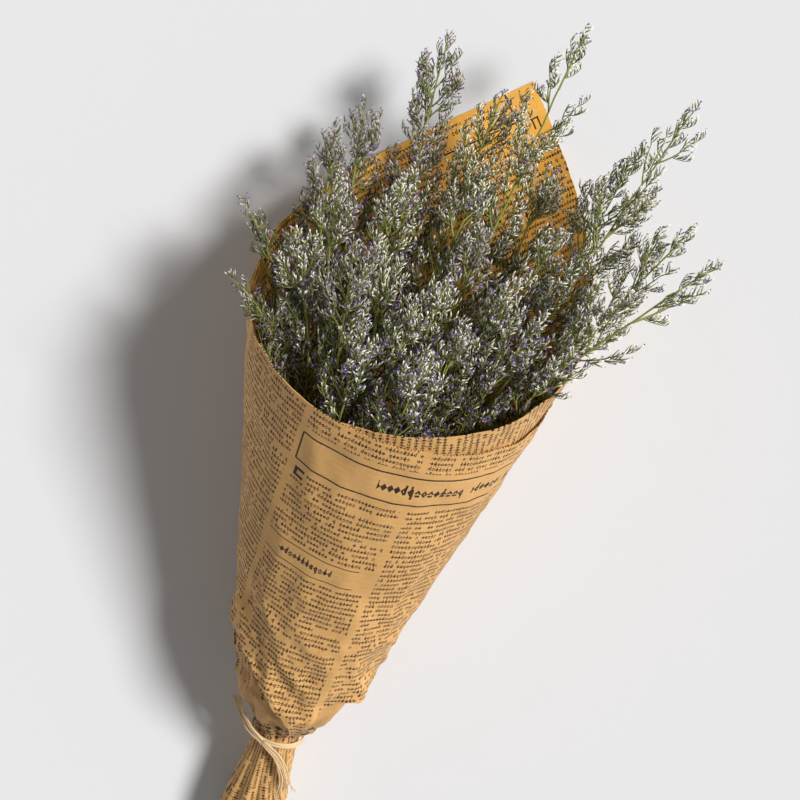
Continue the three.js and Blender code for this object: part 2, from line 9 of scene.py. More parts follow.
import bpy
import numpy as np
from bpy.props import FloatProperty, FloatVectorProperty, IntProperty, PointerProperty
from mathutils import Matrix, Vector, noise


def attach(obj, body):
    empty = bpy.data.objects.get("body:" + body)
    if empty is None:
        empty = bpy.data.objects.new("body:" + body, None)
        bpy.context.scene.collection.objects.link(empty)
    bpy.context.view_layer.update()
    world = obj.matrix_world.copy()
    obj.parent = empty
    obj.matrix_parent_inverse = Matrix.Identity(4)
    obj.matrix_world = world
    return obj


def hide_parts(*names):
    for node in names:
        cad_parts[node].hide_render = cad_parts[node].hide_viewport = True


bl_info = {
    "name": "Dried Statice Bouquet",
    "version": (1, 0, 0),
    "blender": (4, 5, 0),
    "location": "3D View > Sidebar > Bouquet",
    "description": "Builds a bunch of dried statice in a printed kraft wrap around its packed solids",
    "category": "Object",
}

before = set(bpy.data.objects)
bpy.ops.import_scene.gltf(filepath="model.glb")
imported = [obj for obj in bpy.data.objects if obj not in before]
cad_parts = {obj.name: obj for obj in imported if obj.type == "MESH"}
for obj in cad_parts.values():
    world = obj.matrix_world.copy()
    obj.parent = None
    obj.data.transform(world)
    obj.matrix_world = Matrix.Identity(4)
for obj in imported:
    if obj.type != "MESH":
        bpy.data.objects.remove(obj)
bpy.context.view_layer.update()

BAKE_MAP = "OFBake"

# How the bouquet lies
LEAN = math.radians(10.55)
TAIL_REST_Y = -65
TAIL_REST_DEPTH = 15
PRESS = 1.0  # half width of the soft edge where the back is pressed flat
CENTRE = (11.87, 145.02)
LIFT = -TAIL_REST_Y * math.sin(LEAN) + TAIL_REST_DEPTH * math.cos(LEAN)

# The wrap's form, as its solid has it but for a finer free edge and a shallower tuck
SOLID_PAPER = 0.9
LAP_GAP = 0.6
HALF_ANGLE = math.radians(12.56)
BASE_Y = 27
BASE_RADIUS = 28.3
CORNER_REACH = 432.7
CORNER_PHI = 11.2
OUTER_END_PHI = -272
INNER_END_PHI = OUTER_END_PHI + 60 * 360 / 38
END_DRAWN_BACK = 12
END_STRIP = 25
END_DRAWN_Y = (2, 16)
END_TUCK = 1.4
END_TUCK_LOW = (-1, 6)
END_TUCK_TOP = (45, 95)
LAP_DRAWN_IN_Y = (-4, 3)
GATHER_PHI = -78
NECK_RADIUS = 11
SHOULDER_BEND = 1.35
NECK_BOTTOM_Y = -8
TAIL_RADIUS = 15
TAIL_END_Y = -63
TAIL_RAGGED = 2.5
RAGGED_FROM_PHI = -60
CREASED_BELOW = (25, 135)
CREASES_START_Y = (-10, 12)
CREASE_SIZES = (18, 7.5)
PLEATS = 9
PLEAT_SWAY = 14
PLEAT_DEPTHS = (0.5, 1.1, 1.5)  # in the neck, at the shoulder and in the tail
PLEATS_DEEPEN = (0, 9)
PLEATS_RUN_OUT = (14, 46)
POCKET_FLARE = 4.5
POCKET_FADE = 14
EDGE_LIFT = 2.8  # how far the rest of the free lower edge stands off
EDGE_FADE = 10
# Degrees to the left of the back, where these begin and are full
LAP_TURN = (30, 66)
POCKET_TURN = (212, 240)
EDGE_RISES = (84, 112)
EDGE_DIPS = (186, 196)
EDGE_SETTLES = (206, 232)
FOOT_TOP_Y = 30
FOOT_LEAST = 14
LOWER_EDGE = (
    (-272, 36), (-254, 39), (-244, 40), (-225, 40), (-215.2, 36), (-205.7, 26), (-196.2, 12), (-187, 21),
    (-178, 27), (-159, 38), (-140, 50), (-120, 58), (-101, 58), (-92, 54), (-83, 34), (-75, 4), (-66, -24),
    (-54.5, TAIL_END_Y), (300, TAIL_END_Y),
)
APEX_Y = BASE_Y - BASE_RADIUS / math.tan(HALF_ANGLE)
SHEET_COLUMNS = 260
FOOT_ROWS = 44
CONE_ROWS = 60
BESIDE = 0.25  # how far off its neighbours are taken to find the way a point faces

# The print, on the flat sheet: p along the rows of marks and q across them, in millimetres
SHEET_SPAN = 410
SHEET_START = -100
COLUMN_LEFT = 46.5
COLUMN_PERIOD = 54
COLUMN_WIDTH = 50.8
WORD_SHARE = 0.85
PARAGRAPH_DRAW = 0.94  # rows that draw more end a paragraph
HEADLINE_BAND = (271.5, 294.5)  # no small marks stand in the bands
HEADLINE_BOX = (275, 291)
HEADLINE_SPANS = ((37, 76), (81, 99), (102, 124), (128, 150))
HEADING_BAND = (217.5, 233)
HEADING_RULES = (231, 219.5)
INITIAL_ROWS = (266, 271.3)
GATHERED_P = (99, 168)  # the part of the sheet that is gathered in the neck
GATHERED_Q = (-60, 60)

# The tie
TIE_RADIUS = 13.35
TIE_TURNS_Y = (-4.1, -2.3)
KNOT_PHI = -158
TIE_SEED = 71
TURN_FIBRES = 5
KNOT_LOOPS = 6
TAIL_FIBRES = (11, 8)
TAIL_WIDTH = 4.2
FRAY_WIDTH = 6.5
TAIL_UP = ((-5.5, -2.4, 14.6), (-13, 2.2, 13.2), (-17.8, 6.2, 11.8), (-21, 10.6, 10.4))
TAIL_DOWN = ((-5, -2.4, 14.6), (3.6, -8, 15.2), (9.5, -17, 14.6), (12.5, -26, 13.4))

# The sprays' stems and twigs, laid out as in their solids, with slimmer stems
SEED = 20
SEED_STEP = 977
STEM_NECK_RADIUS = 1.25
STEM_TIP_RADIUS = 0.45
STEM_PITCH = 2.9
NECK_STEM_REACH = 8.2
CUT_Y = -73
CUT_UNEVEN = 4
TAIL_SPREAD = 1.12
SETTLE_ROUNDS = 400
FAN_START_Y = 8
MOUTH_Y = 205
MOUTH_PITCH = 19
MOUTH_REACH = 61
LIP = 4
OUTLINE_TOPS = (
    (31.5, 360, -40), (-24, 337, -48), (83.4, 350, -10), (98, 306, 8), (109, 303, 34), (-83.6, 249, -8),
    (-75.5, 232, 34), (-51, 296, -48), (-59, 286, -34), (70, 322, -22), (6, 320, -46),
)
FILL_SPRAYS = 17
FILL_LEVEL = 250
FILL_REACH = 62
FILL_DEPTH = 0.85
FILL_TURN = 40
FILL_FRONT = 12
FILL_TOP_Y = 270
FILL_TOP_SLOPE = 0.62
FILL_UNEVEN = 24
GOLDEN = 137.508
TWIG_ZONE = 122
LOWEST_TWIG_Y = 150
TWIG_STEP = 12
TWIG_LONG = 36
TWIG_SHORT = 17
TWIG_ROOT_ANGLE = math.radians(40)
TWIG_END_ANGLE = math.radians(14)
TWIG_TESTED = (0.4, 0.7, 0.9, 1.08)
TWIG_LEAST = 6
TWIG_UNEVEN = 0.15
TWIG_SWAY = 30
SHORTENED = 0.85
CELL_GAP = 0.45
MASS_TOP_Y = 300  # the thick of the bunch ends here, lower towards the front
MASS_SLOPE = 0.5
PAINTED_SHADE_DEPTH = 58  # deeper in the bunch most spikelets stay unopened and take the darker cells: partly painted shade
PAINTED_SHADE_SHARE = 0.75
PAPER_GAP = 1.3
FLOOR_GAP = 2.4
TOP_MARGIN = 3

# What the sprays carry beyond their solids
DETAIL_SEED = 5150
DETAIL_SEED_STEP = 31
STEM_SWAY = 0.9
TWIG_RADII = (0.42, 0.22)
TWIG_BARE = 0.22  # the share of a twig below its first side branch
LOOSE_EXTRA_TWIGS = 3
CROWN_COMBS = (9, 6)  # of a spray in the thick of the bunch, and of a loose one
CROWN_LENGTHS = (9.5, 5.5)
COMB_RADII = (0.26, 0.16)
COMB_LENGTHS = (10.5, 7.0)
COMB_END_LENGTH = 6.5
COMB_LEAST = 2.5
COMB_GAPS = (-1.5, 3.2, 4.2)  # from a neighbour's share, from the paper and from the floor
COMB_TESTED = (0.6, 1.25)
FULL_TURN = 6.283

# Atlas of the sprays' colours: tubes below, spikelets above
TUBE_CELLS = 8
TUBE_TOP_V = 0.23
CUT_END_V = 0.255
SPIKELET_CELLS = 16
VIOLET_CELLS = 6  # the cells from here on are for violet spikelets
SHADED_CELLS = 12  # and from here on for unopened ones, darkened as painted shade deep in the bunch
VIOLET_SPRAYS = (1, 5, 6, 7, 8, 13, 17)
TINT_CELLS = 6  # the shades that one spray draws from
SPIKELET_LOW_V = 0.28
FLOWER_V = 0.96
MAP_MARGIN = 0.03

# The camera at the photograph's angle
CAMERA_PLACE = (-0.01187, 0.24953, 0.87776)
CAMERA_AHEAD = (0.0069, -0.24876, -0.96854)
CAMERA_UP = (-0.31362, 0.91916, -0.23831)
CAMERA_LENS = 84.12

# The floor, the soft key light, and the backdrop, which fades into the sky between two heights
FLOOR_SIZE = 80
KEY_FROM = (1.02, 0.82, 1.25)
KEY_SPREAD = math.radians(15)
BACKDROP_FADE = (0.2, 0.42)  # shares of the way up to straight overhead
SKY_COLOUR = (1.0, 0.985, 0.97)

# Colours of small details
# Painted shade: the dark brown that the outer face of the sheet's gathered part is darkened towards at the
# neck
GATHERED_PAINTED_SHADE = (0.12, 0.03, 0.004)
CUT_END_COLOUR = (0.6, 0.49, 0.3)
STEM_FOOT_COLOUR = (0.26, 0.19, 0.09)
LILAC = (0.36, 0.21, 0.36)
PINK = (0.36, 0.19, 0.31)


class WrapSettings(bpy.types.PropertyGroup):
    thickness: FloatProperty(
        name="Thickness", description="Thickness of the shown sheet", default=0.00045, unit="LENGTH"
    )
    crumple: FloatProperty(
        name="Crumple", description="How far the creases stand out", default=0.0031, unit="LENGTH"
    )
    line_pitch: FloatProperty(
        name="Line Pitch", description="Distance between the printed lines", default=0.00302, unit="LENGTH"
    )
    outer_colour: FloatVectorProperty(
        name="Outside", description="Kraft colour of the outer face", subtype="COLOR",
        default=(0.68, 0.385, 0.135),
    )
    inner_colour: FloatVectorProperty(
        name="Inside", description="Kraft colour of the inner face", subtype="COLOR",
        default=(0.93, 0.47, 0.08),
    )
    ink_colour: FloatVectorProperty(
        name="Ink", description="Colour of the printed marks", subtype="COLOR",
        default=(0.028, 0.013, 0.009),
    )


class TieSettings(bpy.types.PropertyGroup):
    fibre_radius: FloatProperty(
        name="Fibre Radius", description="Radius of one raffia fibre", default=0.0004, unit="LENGTH"
    )
    colour: FloatVectorProperty(
        name="Straw", description="Colour of the raffia", subtype="COLOR", default=(0.64, 0.46, 0.25)
    )


class SpraySettings(bpy.types.PropertyGroup):
    spikelet_length: FloatProperty(
        name="Spikelet Length", description="Length of one spikelet", default=0.0048, unit="LENGTH"
    )
    spikelet_width: FloatProperty(
        name="Spikelet Width", description="Width of one spikelet", default=0.00078, unit="LENGTH"
    )
    comb_step: FloatProperty(
        name="Side Branch Step", description="Distance between side branches on a twig",
        default=0.0036, unit="LENGTH",
    )
    extra_twigs: IntProperty(
        name="Extra Twigs", description="Twigs of a spray beyond those of its solid", default=13, min=0
    )
    flowering: FloatProperty(
        name="In Flower", description="Share of the spikelets with a corolla", default=0.58, min=0, max=1
    )
    stem_colour: FloatVectorProperty(
        name="Stem", description="Green of the stems", subtype="COLOR", default=(0.21, 0.25, 0.06)
    )
    base_colour: FloatVectorProperty(
        name="Spikelet Base", description="Green at a spikelet's base", subtype="COLOR",
        default=(0.14, 0.16, 0.04),
    )
    tip_colour: FloatVectorProperty(
        name="Calyx", description="Papery white of the calyx", subtype="COLOR", default=(0.99, 0.95, 0.78)
    )
    flower_colour: FloatVectorProperty(
        name="Corolla", description="Violet of the corollas", subtype="COLOR", default=(0.14, 0.085, 0.3)
    )


class StageSettings(bpy.types.PropertyGroup):
    floor_colour: FloatVectorProperty(
        name="Floor", description="Colour of the floor", subtype="COLOR", default=(0.75, 0.75, 0.76)
    )
    key_strength: FloatProperty(
        name="Key Light", description="Strength of the key light", default=3.95, min=0
    )
    sky_strength: FloatProperty(
        name="Sky", description="Strength of the even light from above", default=0.17, min=0
    )
    backdrop_strength: FloatProperty(
        name="Backdrop", description="Strength of the pale backdrop round the horizon", default=0.8, min=0
    )


def millimetres(length):
    return length * 1000


def seeded(seed):
    """Even draws from 0 to 1, the same ones that the solids use."""
    state = seed

    def draw():
        nonlocal state
        state = (state * 1664525 + 1013904223) % 4294967296
        return state / 4294967296

    return draw


def smooth(x, a, b):
    s = np.clip((np.asarray(x, float) - a) / (b - a), 0, 1)
    return s * s * (3 - 2 * s)


def lerp(a, b, t):
    return a + (b - a) * t


def unit(v):
    return v / np.linalg.norm(v, axis=-1, keepdims=True)


def level(angle):
    """A way across the bouquet at an angle from its right towards its front."""
    return np.array([math.cos(angle), 0, math.sin(angle)])


def square_to(way, side):
    """The part of a side that stands square to a way."""
    return unit(side - way * side.dot(way))


def lay(points):
    """Where points of the bouquet's own axis are once it lies down."""
    p = np.asarray(points, float)
    s, c = math.sin(LEAN), math.cos(LEAN)
    x, y, z = p[..., 0], p[..., 1], p[..., 2]
    return np.stack([x - CENTRE[0], y * c - z * s - CENTRE[1], y * s + z * c + LIFT], -1)


def put(name, data):
    """A new object in the scene."""
    thing = bpy.data.objects.new(name, data)
    bpy.context.scene.collection.objects.link(thing)
    return thing


def new_piece(name, points, faces, uvs, materials, face_materials=None):
    """One mesh from laid points in millimetres. faces is a list of arrays, each of one corner count."""
    mesh = bpy.data.meshes.new(name)
    counts = np.concatenate([np.full(len(f), f.shape[1]) for f in faces])
    corners = np.concatenate([f.ravel() for f in faces])
    if face_materials is None:
        face_materials = np.zeros(len(counts))
    mesh.vertices.add(len(points))
    mesh.loops.add(len(corners))
    mesh.polygons.add(len(counts))
    mesh.vertices.foreach_set("co", (points / 1000).astype(np.float32).ravel())
    mesh.loops.foreach_set("vertex_index", corners.astype(np.int32))
    per_face = {"loop_start": np.cumsum(counts) - counts, "loop_total": counts}
    per_face["material_index"] = face_materials
    for field, values in per_face.items():
        mesh.polygons.foreach_set(field, values.astype(np.int32))
    mesh.polygons.foreach_set("use_smooth", np.ones(len(counts), bool))
    layer = mesh.uv_layers.new(name=BAKE_MAP)
    layer.data.foreach_set("uv", np.concatenate(uvs).astype(np.float32).ravel())
    for material in materials:
        mesh.materials.append(material)
    mesh.update(calc_edges=True)
    if mesh.validate():
        raise RuntimeError(f"{name} had faces that had to be repaired")
    piece = put(name, mesh)
    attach(piece, "root")
    return piece


def join(tree, value, socket):
    """Gives a node's input a value, or the output of another node."""
    value = getattr(value, "socket", value)
    if isinstance(value, bpy.types.NodeSocket):
        tree.links.new(value, socket)
    elif socket.type == "RGBA":
        socket.default_value = (*value, 1)
    else:
        socket.default_value = value


def add_node(tree, kind, *values, **options):
    """A new node with its options set and its first inputs joined in order."""
    node = tree.nodes.new("ShaderNode" + kind)
    for name, option in options.items():
        setattr(node, name, option)
    for value, socket in zip(values, node.inputs):
        join(tree, value, socket)
    return node


def sum_step(operation, swapped=False):
    """A step of a formula: one node that works on a term and what stands beside it."""

    def step(self, *others):
        return self.nodes.calc(operation, *((*others, self) if swapped else (self, *others)))

    return step


class Term:
    """A number in a material's nodes that can be used in a formula."""

    def __init__(self, nodes, socket):
        self.nodes, self.socket = nodes, socket

    __add__ = sum_step("ADD")
    __radd__ = sum_step("ADD", swapped=True)
    __sub__ = sum_step("SUBTRACT")
    __rsub__ = sum_step("SUBTRACT", swapped=True)
    __mul__ = sum_step("MULTIPLY")
    __truediv__ = sum_step("DIVIDE")
    __gt__ = sum_step("GREATER_THAN")
    __lt__ = sum_step("LESS_THAN")
    __abs__ = sum_step("ABSOLUTE")
    floor = sum_step("FLOOR")
    fraction = sum_step("FRACT")
    either = sum_step("MAXIMUM")

    def between(self, low, high):
        return (self > low) * (self < high)

    def bounded(self):
        return self.nodes.calc("MINIMUM", self.either(0), 1)


class Finish:
    """A material and its nodes. Each call adds one node and gives its output."""

    def __init__(self, name, roughness, specular=0.3, sheen=0.0):
        self.material = bpy.data.materials.new(name)
        self.material.use_nodes = True
        self.tree = self.material.node_tree
        self.shader = self.tree.nodes["Principled BSDF"].inputs
        self.shader["Roughness"].default_value = roughness
        self.shader["Specular IOR Level"].default_value = specular
        self.shader["Sheen Weight"].default_value = sheen

    def add(self, kind, *values, **options):
        return add_node(self.tree, kind, *values, **options)

    def calc(self, operation, *values):
        return Term(self, self.add("Math", *values, operation=operation).outputs[0])

    def vector(self, x, y, z=0.0):
        return self.add("CombineXYZ", x, y, z).outputs[0]

    def bake_place(self):
        """The two coordinates of the piece's own map."""
        split = self.add("SeparateXYZ", self.add("UVMap", uv_map=BAKE_MAP).outputs[0])
        return Term(self, split.outputs[0]), Term(self, split.outputs[1])

    def in_object(self):
        return self.add("TexCoord").outputs["Object"]

    def chance(self, x, y):
        """A draw from 0 to 1 for each pair of numbers."""
        node = self.add("TexWhiteNoise", self.vector(x, y), noise_dimensions="2D")
        return Term(self, node.outputs["Value"])

    def cloud(self, place, scale, detail=2.0, roughness=0.5):
        node = self.add("TexNoise", place)
        for name, value in (("Scale", scale), ("Detail", detail), ("Roughness", roughness)):
            node.inputs[name].default_value = value
        return Term(self, node.outputs["Fac"])

    def mixed(self, share, first, second):
        node = self.add("Mix", share, data_type="RGBA")
        join(self.tree, first, node.inputs[6])
        join(self.tree, second, node.inputs[7])
        return node.outputs[2]

    def ramp(self, share, stops):
        node = self.add("ValToRGB", share)
        points = node.color_ramp.elements
        while len(points) < len(stops):
            points.new(0.5)
        for point, (at, colour) in zip(points, stops):
            point.position, point.color = at, (*colour, 1)
        return node.outputs[0]

    def coloured(self, colour):
        join(self.tree, colour, self.shader["Base Color"])

    def bumped(self, height, distance, strength=1.0):
        node = self.add("Bump")
        join(self.tree, height, node.inputs["Height"])
        node.inputs["Distance"].default_value = distance
        node.inputs["Strength"].default_value = strength
        join(self.tree, node.outputs[0], self.shader["Normal"])


# The wrap


def rim_height(phi):
    """Height of the sheet's top edge, the two square edges that meet in its corner."""
    turn = np.radians(np.abs(phi - CORNER_PHI)) * math.sin(HALF_ANGLE)
    reach = CORNER_REACH / (np.cos(turn) + np.sin(turn))
    return reach * math.cos(HALF_ANGLE) + APEX_Y


def cone_at(y):
    """The cone's own radius at a height."""
    return BASE_RADIUS + (y - BASE_Y) * math.tan(HALF_ANGLE)


def wrap_radius(y):
    """The wrap's radius: the cone, drawn in below its base to the neck, and the tail."""
    drop = (cone_at(0) - NECK_RADIUS) * np.clip(1 - y / BASE_Y, 0, 1) ** SHOULDER_BEND
    tail = lerp(NECK_RADIUS, TAIL_RADIUS, smooth(y, NECK_BOTTOM_Y, TAIL_END_Y))
    return np.where(y >= 0, cone_at(y) - np.where(y < BASE_Y, drop, 0), tail)


def pleat_depth(y):
    neck, shoulder, tail = PLEAT_DEPTHS
    above = lerp(neck, shoulder, smooth(y, *PLEATS_DEEPEN)) * (1 - smooth(y, *PLEATS_RUN_OUT))
    return np.where(y < 0, lerp(neck, tail, smooth(y, NECK_BOTTOM_Y, TAIL_END_Y)), above)


def lower_edge(phi):
    """Height of the outer wing's free edge, and past it of the tail's ragged end."""
    at, height = np.array(LOWER_EDGE, float).T
    i = np.clip(np.searchsorted(at, phi), 1, len(at) - 1)
    share = np.clip((phi - at[i - 1]) / (at[i] - at[i - 1]), 0, 1)
    line = lerp(height[i - 1], height[i], share * share * (3 - 2 * share))
    wave = np.sin(np.radians(phi * 2.3)) * np.cos(np.radians(phi * 5.1))
    return line + np.where(phi > RAGGED_FROM_PHI, TAIL_RAGGED * wave, 0)


def creases(phi, y, depth):
    """Crumpled folds, the same in both layers, strongest where the sheet is gathered."""
    out = np.zeros(phi.shape)
    low = 1 - smooth(y, *CREASED_BELOW)
    wide_size, fine_size = CREASE_SIZES
    for i in np.ndindex(phi.shape):
        a = math.radians(phi[i])
        r = wrap_radius(y[i])
        place = Vector((r * math.sin(a), y[i] * 0.7, -r * math.cos(a)))
        wide = 0.25 - abs(noise.noise(place / wide_size + Vector((3, 7, 1))))
        fine = 0.2 - abs(noise.noise(place / fine_size))
        out[i] = (0.8 + 1.1 * low[i]) * wide + (0.2 + 0.75 * low[i]) * fine
    return out * depth * smooth(y, *CREASES_START_Y)


def sheet_point(phi, y, fold):
    """The middle of the sheet with its lap, pleats, loose edge and tucked inner end."""
    drawn_in = np.where(phi > GATHER_PHI, smooth(y, *LAP_DRAWN_IN_Y), 1)
    lap = (SOLID_PAPER + LAP_GAP) * smooth(-phi, *LAP_TURN) * drawn_in
    pleat = pleat_depth(y) * np.cos(np.radians(phi * PLEATS + PLEAT_SWAY * np.sin(np.radians(phi * 2))))
    flared = POCKET_FLARE * smooth(-phi, *POCKET_TURN)
    above = y - lower_edge(phi)
    loose = flared * np.exp(-above / POCKET_FADE)
    lifted = smooth(-phi, *EDGE_RISES) * (1 - smooth(-phi, *EDGE_SETTLES))
    lifted = lifted * (1 - 0.7 * smooth(-phi, *EDGE_DIPS))
    loose = loose + EDGE_LIFT * lifted * np.exp(-above / EDGE_FADE)
    at_end = smooth(phi, INNER_END_PHI - 2 * END_STRIP, INNER_END_PHI - END_STRIP)
    tuck = END_TUCK * at_end * smooth(y, *END_TUCK_LOW) * (1 - smooth(y, *END_TUCK_TOP))
    r = wrap_radius(y) + lap + pleat + loose - tuck + fold
    a = np.radians(phi)
    return np.stack([r * np.sin(a), y, -r * np.cos(a)], -1)


def flat_place(phi, y):
    """Where a point of the wrap is on the flat sheet: along the printed lines and across them."""
    reach = (y - APEX_Y) / math.cos(HALF_ANGLE)
    turn = np.radians(phi - CORNER_PHI) * math.sin(HALF_ANGLE)
    side, up = reach * np.sin(turn), reach * np.cos(turn)
    return np.stack([side + up, up - side], -1) / math.sqrt(2)


def wrap_points(thickness, crumple):
    """The laid points of the sheet's two faces, row by row, and their places on the flat sheet."""
    phi = np.linspace(OUTER_END_PHI, INNER_END_PHI, SHEET_COLUMNS + 1)
    phi[np.argmin(np.abs(phi - CORNER_PHI))] = CORNER_PHI
    low = lower_edge(phi)
    foot = np.maximum(FOOT_TOP_Y, low + FOOT_LEAST)
    rows = [lerp(low, foot, s) for s in np.linspace(0, 1, FOOT_ROWS + 1)]
    rows += [lerp(foot, rim_height(phi), s) for s in np.linspace(0, 1, CONE_ROWS + 1)[1:]]
    y = np.array(rows)
    turn = np.broadcast_to(phi, y.shape)
    at_end = smooth(turn, INNER_END_PHI - END_STRIP, INNER_END_PHI)
    turn = turn - END_DRAWN_BACK * at_end * (1 - smooth(y, *END_DRAWN_Y))
    fold = creases(turn, y, crumple)
    across = sheet_point(turn + BESIDE, y, fold) - sheet_point(turn - BESIDE, y, fold)
    up = sheet_point(turn, y + BESIDE, fold) - sheet_point(turn, y - BESIDE, fold)
    middle = sheet_point(turn, y, fold)
    out = unit(np.cross(up, across))
    faces = []
    for side, floor in ((-1, thickness), (1, 0)):
        laid = lay(middle + out * side * thickness / 2)
        above = laid[..., 2] - floor
        soft = floor + (above + PRESS) ** 2 / (4 * PRESS)
        laid[..., 2] = np.where(above >= PRESS, laid[..., 2], np.where(above <= -PRESS, floor, soft))
        faces.append(laid)
    return faces, flat_place(turn, y)


def quad_grid(rows, columns):
    i, j = np.indices((rows - 1, columns - 1))
    a = (i * columns + j).ravel()
    return np.stack([a, a + 1, a + columns + 1, a + columns], -1)


def marks(n, u, height, row, bold=0.0):
    """Ink of lozenges, chevrons and strokes of no alphabet, set as close as small type."""
    kind = n.chance(u.floor(), row)
    a, b, c = ((kind * k).fraction() for k in (7.13, 17.7, 31.3))
    f = u.fraction()
    x, h = (f - 0.47) * 2.3, (height - 0.5) * 2
    reach = abs(x) + abs(h)
    eye, wedge, roof = a < 0.3, a.between(0.45, 0.74), a > 0.74
    lozenge = reach.between(0.4 - bold, 1.2) * (1 - wedge * (x > 0.15)) * (1 - roof * (h < -0.1))
    dot = eye * (reach < 0.3)
    post = f.between(0.58 - bold, 0.82) * wedge * height.between((b < 0.4) * -0.5, (b > 0.6) * 0.5 + 1)
    sill = roof * f.between(0.1, 0.84) * height.between(-0.02, 0.2 + bold)
    spike = f.between(0.37 - bold * 0.5, 0.57 + bold * 0.5) * (c < 0.28) * height.between(0.1, 1.5)
    return lozenge.either(dot).either(post).either(sill).either(spike)


def printed_text(n, along, across, pitch, seed):
    """Ink of a body of small marks in columns, with paragraphs."""
    column = (along / COLUMN_PERIOD).floor()
    u = along - column * COLUMN_PERIOD
    row = (across / pitch).floor()
    height = (across / pitch - row - 0.25) / 0.5
    draw = n.chance(column + seed, row)
    indent = (n.chance(column + seed, row + 1) > PARAGRAPH_DRAW) * 5
    end = (draw > PARAGRAPH_DRAW) * (draw - 0.92) * -380 + COLUMN_WIDTH
    mark = u / (pitch * 0.5) + draw * 9
    word = (n.chance(mark.floor(), row + seed + 40) < WORD_SHARE) * u.between(indent, end)
    return word * marks(n, mark, height, row + seed)


def bold_words(n, along, across, low, size, spans, seed):
    """One row of large bold word-like marks between the given ends."""
    word = along.between(*spans[0])
    for span in spans[1:]:
        word = word.either(along.between(*span))
    return word * marks(n, along / (size * 0.8), (across - low) / size, seed, 0.1)


def ruled(value, at, width=0.5):
    return value.between(at - width / 2, at + width / 2)


def outer_print(n, p, q, pitch, gathered):
    """Ink of the outer face: columns, a ruled headline across them and a small heading in one."""
    along = COLUMN_LEFT - p
    headline = q.between(*HEADLINE_BAND) * (along > -3)
    foot, top = HEADLINE_BOX
    box = ruled(q, top, 0.85).either(ruled(q, foot, 0.85)) * (along > 0)
    box = box.either(ruled(along, 0, 0.85) * q.between(foot, top))
    words = bold_words(n, along, q, 280.6, 3.7, HEADLINE_SPANS, 3)
    heading = q.between(*HEADING_BAND) * along.between(-2, COLUMN_WIDTH + 2)
    rules = ruled(q, HEADING_RULES[0]).either(ruled(q, HEADING_RULES[1])) * along.between(0, 45)
    small = bold_words(n, along, q, 223.6, 2.7, ((8, 34),), 8)
    low, high = INITIAL_ROWS
    initial = along.between(1.2, 2.8).either(q.between(high - 1.5, high)).either(q.between(low, low + 1.5))
    initial = initial * along.between(1.2, 6.8) * q.between(low, high)
    body = printed_text(n, along, q, pitch, 1.7) * (1 - headline.either(heading).either(gathered))
    body = body * (1 - q.between(265, 272) * along.between(-1, 8.5))
    rows = (q / 6.6).floor()
    large = marks(n, p / 3.6 + rows * 3.7, (q / 6.6 - rows) * 1.7 - 0.3, rows + 5, 0.12)
    rows = (q / 5).floor()
    medium = marks(n, p / 2.2 + rows * 5.3, (q / 5 - rows) * 2.3 - 0.5, rows + 9, 0.08)
    medium = medium * (n.chance((p / 11).floor(), rows) < 0.72)
    neck = (large * (p < 114) + medium * (p > 131) * (q < 22)) * gathered
    for ink in (neck, box, words, rules, small, initial):
        body = body.either(ink)
    return body


def inner_print(n, p, q, pitch):
    """Ink of the inner face: the same columns, with a small ruled box by the corner."""
    corner = (q > 288.5) * (p > 225)
    box = ruled(p, 291.5, 0.8) * (q > 291.8)
    box = box.either(ruled(q, 291.8, 0.8) * p.between(225, 291.5))
    notice = printed_text(n, p - 233, q, 3.5, 4.1) * q.between(292.5, 303) * p.between(233, 288)
    curl = ruled((p - 300.5) * (p - 300.5) * 0.22 + q, 300, 0.7) * p.between(298, 303)
    initial = ruled(p, 298.2, 0.8).either(ruled(p, 301, 0.8)).either(ruled(q, 290, 0.8))
    initial = initial * q.between(285, 290.4) * p.between(297.6, 301.6)
    body = printed_text(n, p - 20, q, pitch, 6.3) * (1 - corner)
    body = body * (1 - q.between(282, 293) * p.between(294, 306))
    return body.either(box).either(notice).either(curl).either(initial)


def wrap_finish(settings):
    n = Finish("printed kraft paper", roughness=0.72, specular=0.28, sheen=0.06)
    u, v = n.bake_place()
    inside = u > 0.5
    p = (u * 2 - inside) * SHEET_SPAN + SHEET_START
    q = v * SHEET_SPAN + SHEET_START
    pitch = millimetres(settings.line_pitch)
    gathered = p.between(*GATHERED_P) * q.between(*GATHERED_Q)
    outer, inner = outer_print(n, p, q, pitch, gathered), inner_print(n, p, q, pitch)
    here = outer * (1 - inside) + inner * inside
    behind = inner * (1 - inside) + outer * inside
    place = n.in_object()
    mottle, blot = n.cloud(place, 34, 3, 0.6), n.cloud(place, 120, 2)
    fibre = n.cloud(place, 900, 3, 0.7)
    outside_colour, inside_colour = settings.outer_colour, settings.inner_colour
    kraft = n.mixed(inside, outside_colour, inside_colour)
    dark = n.mixed(inside, [c * 0.72 for c in outside_colour], [c * 0.68 for c in inside_colour])
    share = ((mottle - 0.5) * 1.1 + (fibre - 0.5) * 0.6 + (blot - 0.5) * 0.5 + 0.26).bounded()
    # Painted shade: the outer face is darkened a little where the sheet is gathered in the neck
    paper = n.mixed(gathered * (1 - inside) * 0.16, n.mixed(share, kraft, dark), GATHERED_PAINTED_SHADE)
    ink = (here * (0.82 + n.cloud(place, 700, 1) * 0.3) + behind * 0.07).bounded()
    n.coloured(n.mixed(ink, paper, settings.ink_colour))
    folds = abs(n.cloud(place, 26, 3, 0.55) - 0.5)
    n.bumped(fibre * 0.3 + n.cloud(place, 260, 3) * 0.5 - folds * 9, 0.00022, 0.6)
    return n.material


